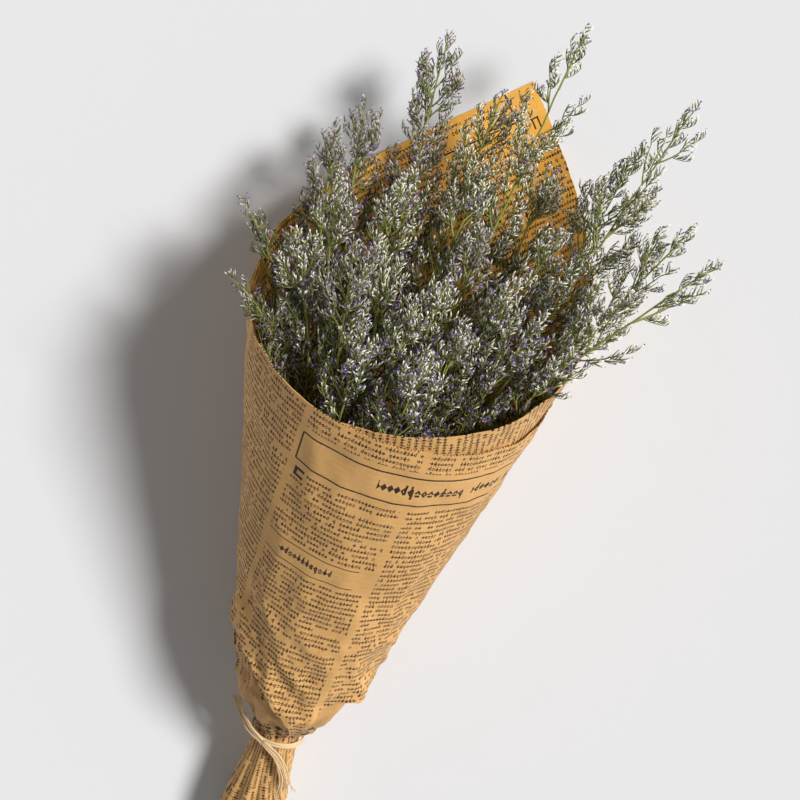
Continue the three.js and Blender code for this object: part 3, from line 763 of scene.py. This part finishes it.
def build_wrap(settings):
    thickness = millimetres(settings.thickness)
    (inner, outer), flat = wrap_points(thickness, millimetres(settings.crumple))
    rows, columns = inner.shape[:2]
    count = rows * columns
    grid = quad_grid(rows, columns)
    edge = np.concatenate([
        np.arange(columns),
        np.arange(1, rows) * columns + columns - 1,
        (rows - 1) * columns + np.arange(columns - 2, -1, -1),
        np.arange(rows - 2, 0, -1) * columns,
    ])
    after = np.roll(edge, -1)
    strip = np.stack([edge, edge + count, after + count, after], -1)
    # All faces look out of the paper, and both its sides are split along the same diagonals
    faces = [grid, grid[:, [0, 3, 2, 1]] + count, strip[:, [3, 0, 1, 2]]]
    spot = (flat.reshape(-1, 2) - SHEET_START) / SHEET_SPAN * [0.5, 1]
    spots = np.concatenate([spot + [0.5, 0], spot])
    uvs = [spots[f.ravel()] for f in faces[:2]] + [spot[faces[2].ravel() % count]]
    points = np.concatenate([inner.reshape(-1, 3), outer.reshape(-1, 3)])
    piece = new_piece("kraft_wrap", points, faces, uvs, [wrap_finish(settings)])
    # The sheet's cut edges stay crisp
    sides = zip(edge.tolist(), after.tolist())
    ring = {tuple(sorted((a + face, b + face))) for a, b in sides for face in (0, count)}
    for line in piece.data.edges:
        if tuple(sorted(line.vertices)) in ring:
            line.use_edge_sharp = True
    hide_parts("paper_wrap")


# Tubes for fibres, stems, twigs and side branches


def tube(points, radii, sides, cell, flat=1.0, across=(0.31, 0.2, 0.93)):
    """Points, faces and map of a tube closed at both ends. flat squeezes it one way across."""
    points = np.asarray(points, float)
    way = unit(np.gradient(points, axis=0))
    side = unit(np.cross(way, across))
    top = np.cross(side, way)
    turn = np.arange(sides) / sides * 2 * math.pi
    ring = side[:, None] * np.cos(turn)[None, :, None]
    ring = ring + top[:, None] * np.sin(turn)[None, :, None] * flat
    count = len(points)
    body = points[:, None] + ring * np.broadcast_to(radii, count)[:, None, None]
    i, j = (index.ravel() for index in np.indices((count - 1, sides)))
    near, far = i * sides, (i + 1) * sides
    after = (j + 1) % sides
    quads = np.stack([near + j, far + j, far + after, near + after], -1)
    k = np.arange(sides)
    beside = (k + 1) % sides
    middles = np.full(sides, count * sides)
    last = (count - 1) * sides
    caps = np.vstack([
        np.stack([k, beside, middles], -1), np.stack([last + beside, last + k, middles + 1], -1),
    ])
    low, high = i / (count - 1), (i + 1) / (count - 1)
    u = (cell + np.stack([j, j, j + 1, j + 1], -1) / sides) / TUBE_CELLS
    v = np.stack([low, high, high, low], -1) * TUBE_TOP_V
    quad_uv = np.stack([u, v], -1).reshape(-1, 2)
    cap_uv = np.tile([(cell + 0.5) / TUBE_CELLS, CUT_END_V], (len(caps) * 3, 1))
    return np.vstack([body.reshape(-1, 3), points[0], points[-1]]), quads, caps, quad_uv, cap_uv


class Bunch:
    """Gathers tubes and spikelets for one mesh."""

    def __init__(self):
        self.parts, self.size = [], 0

    def add(self, points, quads, tris, quad_uv, tri_uv, material=0):
        looks = np.full(len(quads), material), np.full(len(tris), material)
        self.parts.append((points, quads + self.size, tris + self.size, quad_uv, tri_uv, *looks))
        self.size += len(points)

    def piece(self, name, slot, materials):
        points, quads, tris, quad_uv, tri_uv, *looks = map(np.concatenate, zip(*self.parts))
        faces, uvs = [quads, tris], [quad_uv, tri_uv]
        return new_piece(name, lay(points), faces, uvs, materials, np.concatenate(looks))


def curve_through(points, count):
    """Many points on a smooth curve through a few."""
    p = np.asarray(points, float)
    ghost = np.vstack([2 * p[0] - p[1], p, 2 * p[-1] - p[-2]])
    t = np.linspace(0, len(p) - 1, count)
    i = np.minimum(t.astype(int), len(p) - 2)
    f = (t - i)[:, None]
    a, b, c, d = ghost[i], ghost[i + 1], ghost[i + 2], ghost[i + 3]
    curved = (2 * a - 5 * b + 4 * c - d) * f ** 2 + (3 * b - a - 3 * c + d) * f ** 3
    return 0.5 * (2 * b + (c - a) * f + curved)


# The tie


def raffia_finish(settings):
    n = Finish("dry raffia", roughness=0.58, specular=0.35, sheen=0.15)
    u, v = n.bake_place()
    pale = [min(1, c * 1.25) for c in settings.colour]
    dark = [c * 0.62 for c in settings.colour]
    cell = (u * TUBE_CELLS).floor()
    lines = n.cloud(n.vector(u * 260, v * 22, cell), 1.0, 2)
    share = ((lines - 0.5) * 1.5 + n.chance(cell, 2) * 0.5 + 0.12).bounded()
    n.coloured(n.mixed(share, pale, n.mixed(n.chance(cell, 5), settings.colour, dark)))
    n.bumped(lines, 0.0002, 0.7)
    return n.material


def around_neck(radius, turns_y, sway, phase):
    a = np.linspace(0, 2 * math.pi, 49)
    r = radius + sway * np.sin(a * 5 + phase)
    y = turns_y + sway * 1.4 * np.sin(a * 3 + phase * 2)
    return np.stack([r * np.sin(a), y, -r * np.cos(a)], -1)


def build_tie(settings):
    draw = seeded(TIE_SEED)
    thin = millimetres(settings.fibre_radius)
    bunch = Bunch()

    def fibre(points, radius, flat=0.7, **turned):
        bunch.add(*tube(points, radius, 6, int(draw() * TUBE_CELLS), flat, **turned))

    for y in TIE_TURNS_Y:
        for _ in range(TURN_FIBRES):
            off_r, off_y = (draw() - 0.5) * 0.7, (draw() - 0.5) * 1.5
            ring = around_neck(TIE_RADIUS + off_r, y + off_y, 0.16, draw() * 6)
            fibre(ring, thin * (1 + 0.5 * draw()))
    knot = math.radians(KNOT_PHI)
    out = np.array([math.sin(knot), 0, -math.cos(knot)])
    side = level(knot)
    centre = out * (TIE_RADIUS + 1.0) + np.array([0, TIE_TURNS_Y[0] + 0.9, 0])
    for loop in range(KNOT_LOOPS):
        tilt = math.radians(15 * loop - 38 + 6 * draw())
        long = side * math.cos(tilt) + np.array([0, math.sin(tilt), 0])
        a = np.linspace(0, 2 * math.pi, 17)
        wide, deep = 2.3 - 0.18 * loop, 1.5 + 0.1 * draw()
        across = np.cross(long, out)[None] * np.cos(a)[:, None] * wide * 0.75
        ring = centre + long * (0.5 * (draw() - 0.5)) + (across + out[None] * np.sin(a)[:, None] * deep)
        fibre(ring, thin * 1.25)
    for line, count in ((TAIL_UP, TAIL_FIBRES[0]), (TAIL_DOWN, TAIL_FIBRES[1])):
        base = curve_through(line, 18)
        way = unit(np.gradient(base, axis=0))
        out_way = unit(base * [1, 0, 1])
        flat_way = unit(np.cross(way, out_way))
        t = np.linspace(0, 1, 18)[:, None]
        for k in range(count):
            place = (k + 0.5) / count - 0.5
            spread = TAIL_WIDTH * place * (0.55 + 0.6 * np.sin(t * math.pi / 1.6))
            spread = spread + FRAY_WIDTH * place * smooth(t, 0.68, 1.0)
            wave = 0.25 * np.sin(t * 9 + draw() * 6) + (draw() - 0.5) * 2.6 * smooth(t, 0.78, 1.0)
            lift = 0.3 * (draw() - 0.5) + 0.25 * np.sin(t * 7 + draw() * 6)
            lift = lift + 1.6 * (draw() - 0.5) * smooth(t, 0.82, 1.0)
            ahead = way * (1.5 + 4.5 * draw()) * smooth(t, 0.55, 1.0)
            strand = base + flat_way * (spread + wave) + out_way * (lift + 0.3) + ahead
            radius = thin * (1.25 - 0.5 * smooth(t[:, 0], 0.7, 1.0)) * (0.9 + 0.4 * draw())
            fibre(strand, radius, 0.6, across=flat_way[9])
    piece = bunch.piece("raffia_ties", "raffia", [raffia_finish(settings)])
    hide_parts("raffia_tie")


# The sprays


def clamped(p, reach):
    return p if abs(p) <= reach else p / abs(p) * reach


def settled(points, pitch, reach):
    """The points pushed apart until none is nearer to another than the pitch."""
    at = list(points)
    for _ in range(SETTLE_ROUNDS):
        for i in range(len(at)):
            for j in range(i):
                apart = at[i] - at[j]
                short = pitch - abs(apart)
                if short > 0:
                    push = apart / (abs(apart) or 1) * short / 2
                    at[i] += push
                    at[j] -= push
        at = [clamped(p, reach) for p in at]
    return at


def spray_tops():
    draw = seeded(SEED)
    tops = [tuple(map(float, p)) for p in OUTLINE_TOPS]
    for i in range(FILL_SPRAYS):
        r = FILL_REACH * math.sqrt((i + 0.5) / FILL_SPRAYS)
        a = math.radians(i * GOLDEN + FILL_TURN)
        front = FILL_FRONT + r * math.sin(a) * FILL_DEPTH
        y = FILL_TOP_Y - FILL_TOP_SLOPE * front + FILL_UNEVEN * (draw() - 0.5)
        fan = y / FILL_LEVEL
        tops.append((r * math.cos(a) * fan, y, front * fan))
    return np.array(tops)


def angle_round(x, z):
    return math.degrees(math.atan2(x, -z))


def paper_top(phi):
    """The wrap's highest edge at an angle round the cone."""
    right = phi if phi >= CORNER_PHI else phi + 360
    left = phi if phi <= CORNER_PHI else phi - 360
    inner = float(rim_height(right)) if right <= INNER_END_PHI else 0
    outer = float(rim_height(left)) if left >= OUTER_END_PHI else 0
    return max(inner, outer)


def curl(root, early, late):
    """The middle line of a branch that leaves its root one way and ends another."""
    return lambda t, size: root + early * size * (t - t * t / 2) + late * size * t * t / 2


class Stand:
    """Where every stem stands, from its cut end to its top."""

    def __init__(self):
        self.tops = spray_tops()
        mouth = [clamped(complex(x, z) * MOUTH_Y / y, MOUTH_REACH) for x, y, z in self.tops]
        self.mouth = settled(mouth, MOUTH_PITCH, MOUTH_REACH)
        neck = [p * NECK_STEM_REACH / MOUTH_REACH for p in self.mouth]
        self.neck = settled(neck, STEM_PITCH, NECK_STEM_REACH)
        self.bends = []
        for x, y, z in self.tops:
            over = math.hypot(x, z) > cone_at(y) - PAPER_GAP
            self.bends.append(max(MOUTH_Y, paper_top(angle_round(x, z)) + LIP) if over else MOUTH_Y)

    def stem(self, k, y):
        start, top, bend = self.neck[k], self.tops[k], self.bends[k]
        over = lerp(start, self.mouth[k], (bend - FAN_START_Y) / (MOUTH_Y - FAN_START_Y))
        if y <= FAN_START_Y:
            at = start * lerp(1, TAIL_SPREAD, float(smooth(y, NECK_BOTTOM_Y, CUT_Y)))
        elif y <= bend:
            at = lerp(start, over, (y - FAN_START_Y) / (bend - FAN_START_Y))
        else:
            at = lerp(over, complex(top[0], top[2]), (y - bend) / (top[1] - bend))
        return np.array([at.real, y, at.imag])

    def free(self, k, p, cell_gap=CELL_GAP, paper_gap=PAPER_GAP, floor_gap=FLOOR_GAP):
        """Whether a point is in its own spray's share of the space, clear of the paper and the floor."""
        x, y, z = p
        own = self.stem(k, min(y, self.tops[k][1]))
        mine = (x - own[0]) ** 2 + (z - own[2]) ** 2
        for j, top in enumerate(self.tops):
            if j == k or y > top[1] + TOP_MARGIN:
                continue
            other = self.stem(j, min(y, top[1]))
            apart = math.hypot(other[0] - own[0], other[2] - own[2])
            theirs = (x - other[0]) ** 2 + (z - other[2]) ** 2
            if (theirs - mine) / (2 * apart) < cell_gap:
                return False
        beside = y < paper_top(angle_round(x, z)) + TOP_MARGIN
        if beside and math.hypot(x, z) > cone_at(y) - paper_gap:
            return False
        return lay(p)[2] > floor_gap

    def twig(self, k, y, azimuth, length):
        """A twig's middle line, its length, shortened until it is free, and its outward side."""
        root = self.stem(k, y)
        axis = unit(self.stem(k, y + 4) - self.stem(k, y - 4))
        out = square_to(axis, level(azimuth))
        early = axis * math.cos(TWIG_ROOT_ANGLE) + out * math.sin(TWIG_ROOT_ANGLE)
        late = axis * math.cos(TWIG_END_ANGLE) + out * math.sin(TWIG_END_ANGLE)
        at = curl(root, early, late)
        size = length
        while size > TWIG_LEAST and not all(self.free(k, at(t, size)) for t in TWIG_TESTED):
            size *= SHORTENED
        return (lambda t: at(t, size)), size, out


def spikelet_shapes():
    """Two shapes along +Z, one unit long and wide: a closed calyx, and one with an open corolla."""
    ring, star = np.arange(4), np.arange(10)
    after = (ring + 1) % 4
    square = np.stack([np.cos(ring * math.pi / 2), np.sin(ring * math.pi / 2)], -1)

    def shape(rim, extra, caps, petals):
        """A calyx up to its rim, closed by more points and by caps, which may be petals."""
        low = np.column_stack([square * 0.38, np.full(4, 0.32)])
        points = np.vstack([[0, 0, 0], low, np.column_stack([square * 0.42, np.full(4, rim)]), extra])
        quads = np.stack([1 + ring, 1 + after, 5 + after, 5 + ring], -1)
        tris = np.vstack([np.stack([np.zeros(4, int), 1 + after, 1 + ring], -1), caps])
        corners = [points[f.ravel()] for f in (quads, tris)]
        maps = [np.stack([0.5 + 0.42 * c[:, 0], c[:, 2]], -1) for c in corners]
        return points, quads, tris, *maps, np.array([False] * 4 + [petals] * len(caps))

    cup = np.stack([5 + ring, 5 + after, np.full(4, 9)], -1)
    angle, outer = star * math.pi / 5, star % 2 == 0
    reach, height = np.where(outer, 0.86, 0.42), np.where(outer, 1.06, 1.0)
    corolla = np.column_stack([np.cos(angle) * reach, np.sin(angle) * reach, height])
    fan = np.stack([9 + star, 9 + (star + 1) % 10, np.full(10, 19)], -1)
    return shape(0.74, [[0, 0, 1.08]], cup, False), shape(0.92, [*corolla, [0, 0, 0.93]], fan, True)


SHAPES = spikelet_shapes()


def place_spikelets(bunch, shape, bases, ways, lengths, widths, cells, rolls):
    """Copies one spikelet shape to every place."""
    points, quads, tris, quad_uv, tri_uv, petal = shape
    count = len(bases)
    helper = np.where(np.abs(ways[:, 2:]) > 0.8, [[1.0, 0, 0]], [[0, 0, 1.0]])
    side = unit(np.cross(ways, helper))
    top = np.cross(ways, side)
    c, s = np.cos(rolls)[:, None], np.sin(rolls)[:, None]
    side, top = side * c + top * s, top * c - side * s
    placed = (
        bases[:, None]
        + side[:, None] * (points[None, :, :1] * widths[:, None, None])
        + top[:, None] * (points[None, :, 1:2] * widths[:, None, None])
        + ways[:, None] * (points[None, :, 2:] * lengths[:, None, None])
    )
    shift = (np.arange(count) * len(points))[:, None, None]
    corner = cells[:, None] / SPIKELET_CELLS

    def mapped(local, flowers=None):
        u = corner + local[None, :, 0] / SPIKELET_CELLS
        v = lerp(SPIKELET_LOW_V, FLOWER_V - MAP_MARGIN, np.minimum(local[:, 1], 1))
        v = np.broadcast_to(v, u.shape)
        if flowers is not None:
            v = np.where(np.repeat(flowers, 3)[None], FLOWER_V + MAP_MARGIN, v)
        return np.stack([u, v], -1).reshape(-1, 2)

    bunch.add(
        placed.reshape(-1, 3),
        (quads[None] + shift).reshape(-1, 4), (tris[None] + shift).reshape(-1, 3),
        mapped(quad_uv), mapped(tri_uv, petal), 1,
    )


class SprayMaker:
    """Grows the sprays one by one."""

    def __init__(self, settings, materials):
        self.settings, self.materials = settings, materials
        self.stand = Stand()
        self.length = millimetres(settings.spikelet_length)
        self.width = millimetres(settings.spikelet_width)
        self.step = millimetres(settings.comb_step)

    def rod(self, line, radii, sides, draw):
        self.bunch.add(*tube(line, radii, sides, int(draw() * TUBE_CELLS)))

    def crowded(self, k, place):
        """Whether a place is inside the thick of the bunch."""
        x, y, z = place
        inside = y < MASS_TOP_Y - MASS_SLOPE * z and math.hypot(x, z) < cone_at(y) + 3
        return k >= len(OUTLINE_TOPS) or inside

    def comb(self, k, root, way, side, length, draw):
        """A side branch that leaves at an angle, curls ahead and bears spikelets on its upper side."""
        leaving, ending = 0.8 + 0.35 * draw(), 0.05 + 0.5 * draw()
        start = unit(way * math.cos(leaving) + side * math.sin(leaving))
        end = unit(way * math.cos(ending) + side * math.sin(ending))
        at, size = curl(root, start, end), length
        free = self.stand.free
        while size > COMB_LEAST and not all(free(k, at(t, size), *COMB_GAPS) for t in COMB_TESTED):
            size *= 0.8
        if size <= COMB_LEAST:
            return
        self.rod(at(np.linspace(0, 1, 5)[:, None], size), np.linspace(*COMB_RADII, 5), 3, draw)
        airy = not self.crowded(k, root)
        count = max(3, int(size / (0.98 if airy else 1.12)))
        s = (np.arange(count) + 0.7) / count
        bases = at(s[:, None], size)
        ways = unit(start[None] * (1 - s[:, None]) + end[None] * s[:, None])
        upper = unit(way - ways * (ways @ way)[:, None])
        flank = np.cross(ways, upper)
        rank = np.where(np.arange(count) % 2 == 0, 1, -1)[:, None]
        jitter = np.array([[draw() - 0.5 for _ in range(3)] for _ in range(count)])
        lean = unit(ways * 0.62 + upper * 0.62 + flank * rank * 0.42 + jitter * (0.4 if airy else 0.66))
        for i, base in enumerate(bases):
            length = self.length * self.scale * (0.78 + 0.4 * draw()) * (1 - 0.22 * s[i])
            width = self.width * (0.8 + 0.4 * draw())
            flower = draw() < self.flowering
            # Deep in the bunch most spikelets take the darker cells: unopened ones, with painted shade
            deep = base[1] < MASS_TOP_Y - MASS_SLOPE * base[2] - PAINTED_SHADE_DEPTH
            if deep and draw() < PAINTED_SHADE_SHARE:
                cell = SHADED_CELLS + int(draw() * (SPIKELET_CELLS - SHADED_CELLS))
            else:
                cell = self.tint + int(draw() * draw() * TINT_CELLS)
            self.spikelets[flower].append((base, lean[i], length, width, cell, draw() * FULL_TURN))

    def clothe_twig(self, k, centre, size, out, draw):
        """The twig itself and side branches along it, left and right in turn."""
        self.rod(centre(np.linspace(0, 1, 7)[:, None]), np.linspace(*TWIG_RADII, 7), 5, draw)
        step = self.step * ((0.5 + 0.55 * draw()) if self.crowded(k, centre(0.6)) else 1.75)
        count = max(2, round(size * (1 - TWIG_BARE) / step))
        for i in range(count):
            at = TWIG_BARE + (1 - TWIG_BARE) * (i + 0.5 * draw()) / count
            way = unit(centre(min(1, at + 0.05)) - centre(at - 0.05))
            outward = square_to(way, out)
            tilt = math.radians(-45 + 115 * draw())
            flank = np.cross(way, outward) * math.cos(tilt) * (1 if i % 2 else -1)
            side = flank + outward * math.sin(tilt)
            self.comb(k, centre(at), way, side, lerp(*COMB_LENGTHS, at) * (0.75 + 0.4 * draw()), draw)
        way = unit(centre(1.0) - centre(0.9))
        self.comb(k, centre(1.0), way, square_to(way, out) * 0.3, COMB_END_LENGTH, draw)

    def twig(self, k, y, turn, length, draw, sparse=False):
        """One twig where there is room. A sparse one grows only in the thick of the bunch."""
        centre, size, out = self.stand.twig(k, y, math.radians(turn), length)
        if size > TWIG_LEAST and (not sparse or self.crowded(k, centre(0.6))):
            self.clothe_twig(k, centre, size, out, draw)

    def spray(self, k):
        stand = self.stand
        draw = seeded(SEED + SEED_STEP * (k + 1))
        more = seeded(DETAIL_SEED + DETAIL_SEED_STEP * k)
        self.bunch = Bunch()
        self.spikelets = {False: [], True: []}
        self.flowering = self.settings.flowering * (0.45 + 1.1 * more())
        loose = k < len(OUTLINE_TOPS)
        extra = self.settings.extra_twigs + loose * LOOSE_EXTRA_TWIGS
        self.tint = VIOLET_CELLS if k in VIOLET_SPRAYS else int(more() * (1 if loose else VIOLET_CELLS - 1))
        self.scale = (0.98 if loose else 0.86) + 0.24 * more()
        top = stand.tops[k][1]
        cut = CUT_Y + CUT_UNEVEN * (draw() - 0.5)
        shoulder = top - TWIG_SHORT
        low = max(LOWEST_TWIG_Y, top - TWIG_ZONE)
        heights = [cut, -40, NECK_BOTTOM_Y, 0, FAN_START_Y, 30, 60, 90, 120]
        heights += list(np.arange(140, top - 4, 12)) + [top]
        line = np.array([stand.stem(k, y) for y in heights])
        line[5:-1, [0, 2]] += np.array([[more() - 0.5, more() - 0.5] for _ in heights[5:-1]]) * STEM_SWAY
        self.rod(line, lerp(STEM_NECK_RADIUS, STEM_TIP_RADIUS, smooth(heights, 60, top)) * 0.92, 7, more)
        count = round((shoulder - low) / TWIG_STEP)
        start = draw() * 360
        for j in range(count):
            y = lerp(low, shoulder, (j + 0.2 + 0.4 * draw()) / count)
            turn = start + j * GOLDEN + TWIG_SWAY * (draw() - 0.5)
            length = lerp(TWIG_SHORT, TWIG_LONG, (shoulder - y) / (shoulder - low))
            self.twig(k, y, turn, length * (1 + TWIG_UNEVEN * (2 * draw() - 1)), more)
        for j in range(extra):
            y = lerp(low - 4, shoulder + 4, ((j + more()) / extra) ** 0.75)
            turn = start + 70 + j * GOLDEN + 60 * (more() - 0.5)
            length = lerp(TWIG_SHORT, TWIG_LONG, max(0, (shoulder - y) / (shoulder - low))) * 0.8
            self.twig(k, y, turn, length, more, sparse=j % 4 > 0)
        way = unit(stand.tops[k] - stand.stem(k, shoulder))
        crown = CROWN_COMBS[loose]
        for j in range(crown):
            at = lerp(shoulder + 1, top, (j + 0.6 * more()) / (crown - 0.4))
            side = square_to(way, level(math.radians(start + j * GOLDEN))) * (1 if at < top - 2 else 0.3)
            self.comb(k, stand.stem(k, min(at, top)), way, side, lerp(*CROWN_LENGTHS, j / crown), more)
        for shape, grown in zip(SHAPES, self.spikelets.values()):
            if grown:
                place_spikelets(self.bunch, shape, *map(np.array, zip(*grown)))
        piece = self.bunch.piece(f"statice_{k + 1:02d}", "statice", self.materials)
        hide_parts(f"spray_{k + 1:02d}")


def stem_finish(settings):
    n = Finish("dry stem", roughness=0.6)
    u, v = n.bake_place()
    cell = (u * TUBE_CELLS).floor()
    ridges = n.cloud(n.vector(u * 190, v * 9, cell), 1.0, 2)
    colour = settings.stem_colour
    brown = [c * k for c, k in zip(colour, (1.15, 0.8, 0.75))]
    green = n.mixed(((ridges - 0.5) * 1.3 + 0.5).bounded(), colour, [min(1, c * 1.5) for c in colour])
    skin = n.mixed(n.chance(cell, 3) * 0.5, green, brown)
    skin = n.mixed(((v - 0.055) * -25).bounded() * 0.6, skin, STEM_FOOT_COLOUR)
    n.coloured(n.mixed(v > TUBE_TOP_V + 0.01, skin, CUT_END_COLOUR))
    n.bumped(ridges, 0.0002, 0.5)
    return n.material


def spikelet_finish(settings):
    n = Finish("papery calyx", roughness=0.65, specular=0.25, sheen=0.1)
    u, v = n.bake_place()
    cell = (u * SPIKELET_CELLS).floor()
    share = (v - SPIKELET_LOW_V) / (FLOWER_V - SPIKELET_LOW_V)
    draw = n.chance(cell, 1)
    veins = n.cloud(n.vector(u * 330, v * 14, cell), 1.0, 1)
    moved = share + (draw - 0.5) * 0.26 + (veins - 0.5) * 0.22
    # The darker cells sit lower on the ramp: painted shade deep in the bunch, on unopened spikelets
    moved = moved - (cell > SHADED_CELLS - 0.5) * 0.42 + (cell < 1.5) * 0.08
    base, tip = settings.base_colour, settings.tip_colour
    ramp = n.ramp(moved, [
        (0.0, [c * 0.5 for c in base]), (0.38, base), (0.62, [lerp(a, b, 0.4) for a, b in zip(base, tip)]),
        (0.84, tip), (1.0, tip),
    ])
    violet = cell.between(VIOLET_CELLS - 0.5, SHADED_CELLS - 0.5)
    violet = violet * ((share - 0.35) * 1.6).bounded() * (draw * 0.35 + 0.5)
    some = (draw > 0.8) * (share > 0.66) * 0.35
    tinted = n.mixed(violet.either(some), ramp, LILAC)
    flower = n.mixed((n.chance(cell, 7) > 0.72) * 0.75, settings.flower_colour, PINK)
    n.coloured(n.mixed(v > FLOWER_V, tinted, flower))
    n.bumped(veins, 0.0001, 0.4)
    return n.material


# The stage


def build_stage(settings):
    scene = bpy.context.scene
    bpy.ops.mesh.primitive_plane_add(size=FLOOR_SIZE, location=(0, 0, -0.0002))
    floor = bpy.context.object
    floor.name = "floor"
    n = Finish("pale floor", roughness=0.9, specular=0.1)
    grain = n.cloud(n.in_object(), 60, 2) * 0.06
    n.coloured(n.mixed(grain, settings.floor_colour, [c * 0.9 for c in settings.floor_colour]))
    floor.data.materials.append(n.material)
    light = bpy.data.lights.new("key", "SUN")
    light.energy, light.angle = settings.key_strength, KEY_SPREAD
    put("key", light).rotation_euler = Vector(KEY_FROM).to_track_quat("Z", "Y").to_euler()
    scene.world = bpy.data.worlds.new("even light")
    scene.world.use_nodes = True
    tree = scene.world.node_tree
    height = add_node(tree, "SeparateXYZ", add_node(tree, "TexCoord").outputs["Generated"]).outputs[2]
    ends = (*BACKDROP_FADE, settings.backdrop_strength, settings.sky_strength)
    fade = add_node(tree, "MapRange", height, *ends, interpolation_type="SMOOTHSTEP")
    background = tree.nodes["Background"].inputs
    join(tree, SKY_COLOUR, background["Color"])
    join(tree, fade.outputs[0], background["Strength"])
    scene.view_settings.view_transform = "Standard"
    camera = bpy.data.cameras.new("camera")
    camera.lens, camera.sensor_width, camera.clip_start = CAMERA_LENS, 36, 0.01
    scene.camera = put("camera", camera)
    back, up = -Vector(CAMERA_AHEAD).normalized(), Vector(CAMERA_UP).normalized()
    right = up.cross(back).normalized()
    turn = Matrix((right, back.cross(right), back)).transposed().to_4x4()
    scene.camera.matrix_world = Matrix.Translation(Vector(CAMERA_PLACE)) @ turn


class BOUQUET_OT_wrap(bpy.types.Operator):
    """Rolls the printed sheet round the bunch"""

    bl_idname = "bouquet.wrap"
    bl_label = "Build Wrap"

    def execute(self, context):
        build_wrap(context.scene.bouquet_wrap)
        return {"FINISHED"}


class BOUQUET_OT_tie(bpy.types.Operator):
    """Ties raffia round the neck"""

    bl_idname = "bouquet.tie"
    bl_label = "Build Tie"

    def execute(self, context):
        build_tie(context.scene.bouquet_tie)
        return {"FINISHED"}


class BOUQUET_OT_sprays(bpy.types.Operator):
    """Grows every spray of statice where its solid stands"""

    bl_idname = "bouquet.sprays"
    bl_label = "Build Sprays"

    def execute(self, context):
        settings = context.scene.bouquet_sprays
        maker = SprayMaker(settings, [stem_finish(settings), spikelet_finish(settings)])
        for k in range(len(maker.stand.tops)):
            maker.spray(k)
        return {"FINISHED"}


class BOUQUET_OT_stage(bpy.types.Operator):
    """Sets the floor, the lights and the camera"""

    bl_idname = "bouquet.stage"
    bl_label = "Build Stage"

    def execute(self, context):
        build_stage(context.scene.bouquet_stage)
        return {"FINISHED"}


class BOUQUET_PT_panel(bpy.types.Panel):
    """Lists the bouquet's pieces and their settings"""

    bl_label = "Bouquet"
    bl_idname = "BOUQUET_PT_panel"
    bl_space_type = "VIEW_3D"
    bl_region_type = "UI"
    bl_category = "Bouquet"

    def draw(self, context):
        for part, operator, _ in PARTS:
            box = self.layout.box()
            settings = getattr(context.scene, f"bouquet_{part}")
            for name in settings.__annotations__:
                box.prop(settings, name)
            box.operator(operator.bl_idname)


PARTS = (
    ("wrap", BOUQUET_OT_wrap, WrapSettings),
    ("tie", BOUQUET_OT_tie, TieSettings),
    ("sprays", BOUQUET_OT_sprays, SpraySettings),
    ("stage", BOUQUET_OT_stage, StageSettings),
)


def register():
    for part, operator, settings in PARTS:
        bpy.utils.register_class(settings)
        bpy.utils.register_class(operator)
        setattr(bpy.types.Scene, f"bouquet_{part}", PointerProperty(type=settings))
    bpy.utils.register_class(BOUQUET_PT_panel)


def unregister():
    bpy.utils.unregister_class(BOUQUET_PT_panel)
    for part, operator, settings in reversed(PARTS):
        delattr(bpy.types.Scene, f"bouquet_{part}")
        bpy.utils.unregister_class(operator)
        bpy.utils.unregister_class(settings)


def main():
    register()
    bpy.ops.bouquet.wrap()
    bpy.ops.bouquet.tie()
    bpy.ops.bouquet.sprays()
    bpy.ops.bouquet.stage()


if __name__ == "__main__":
    main()
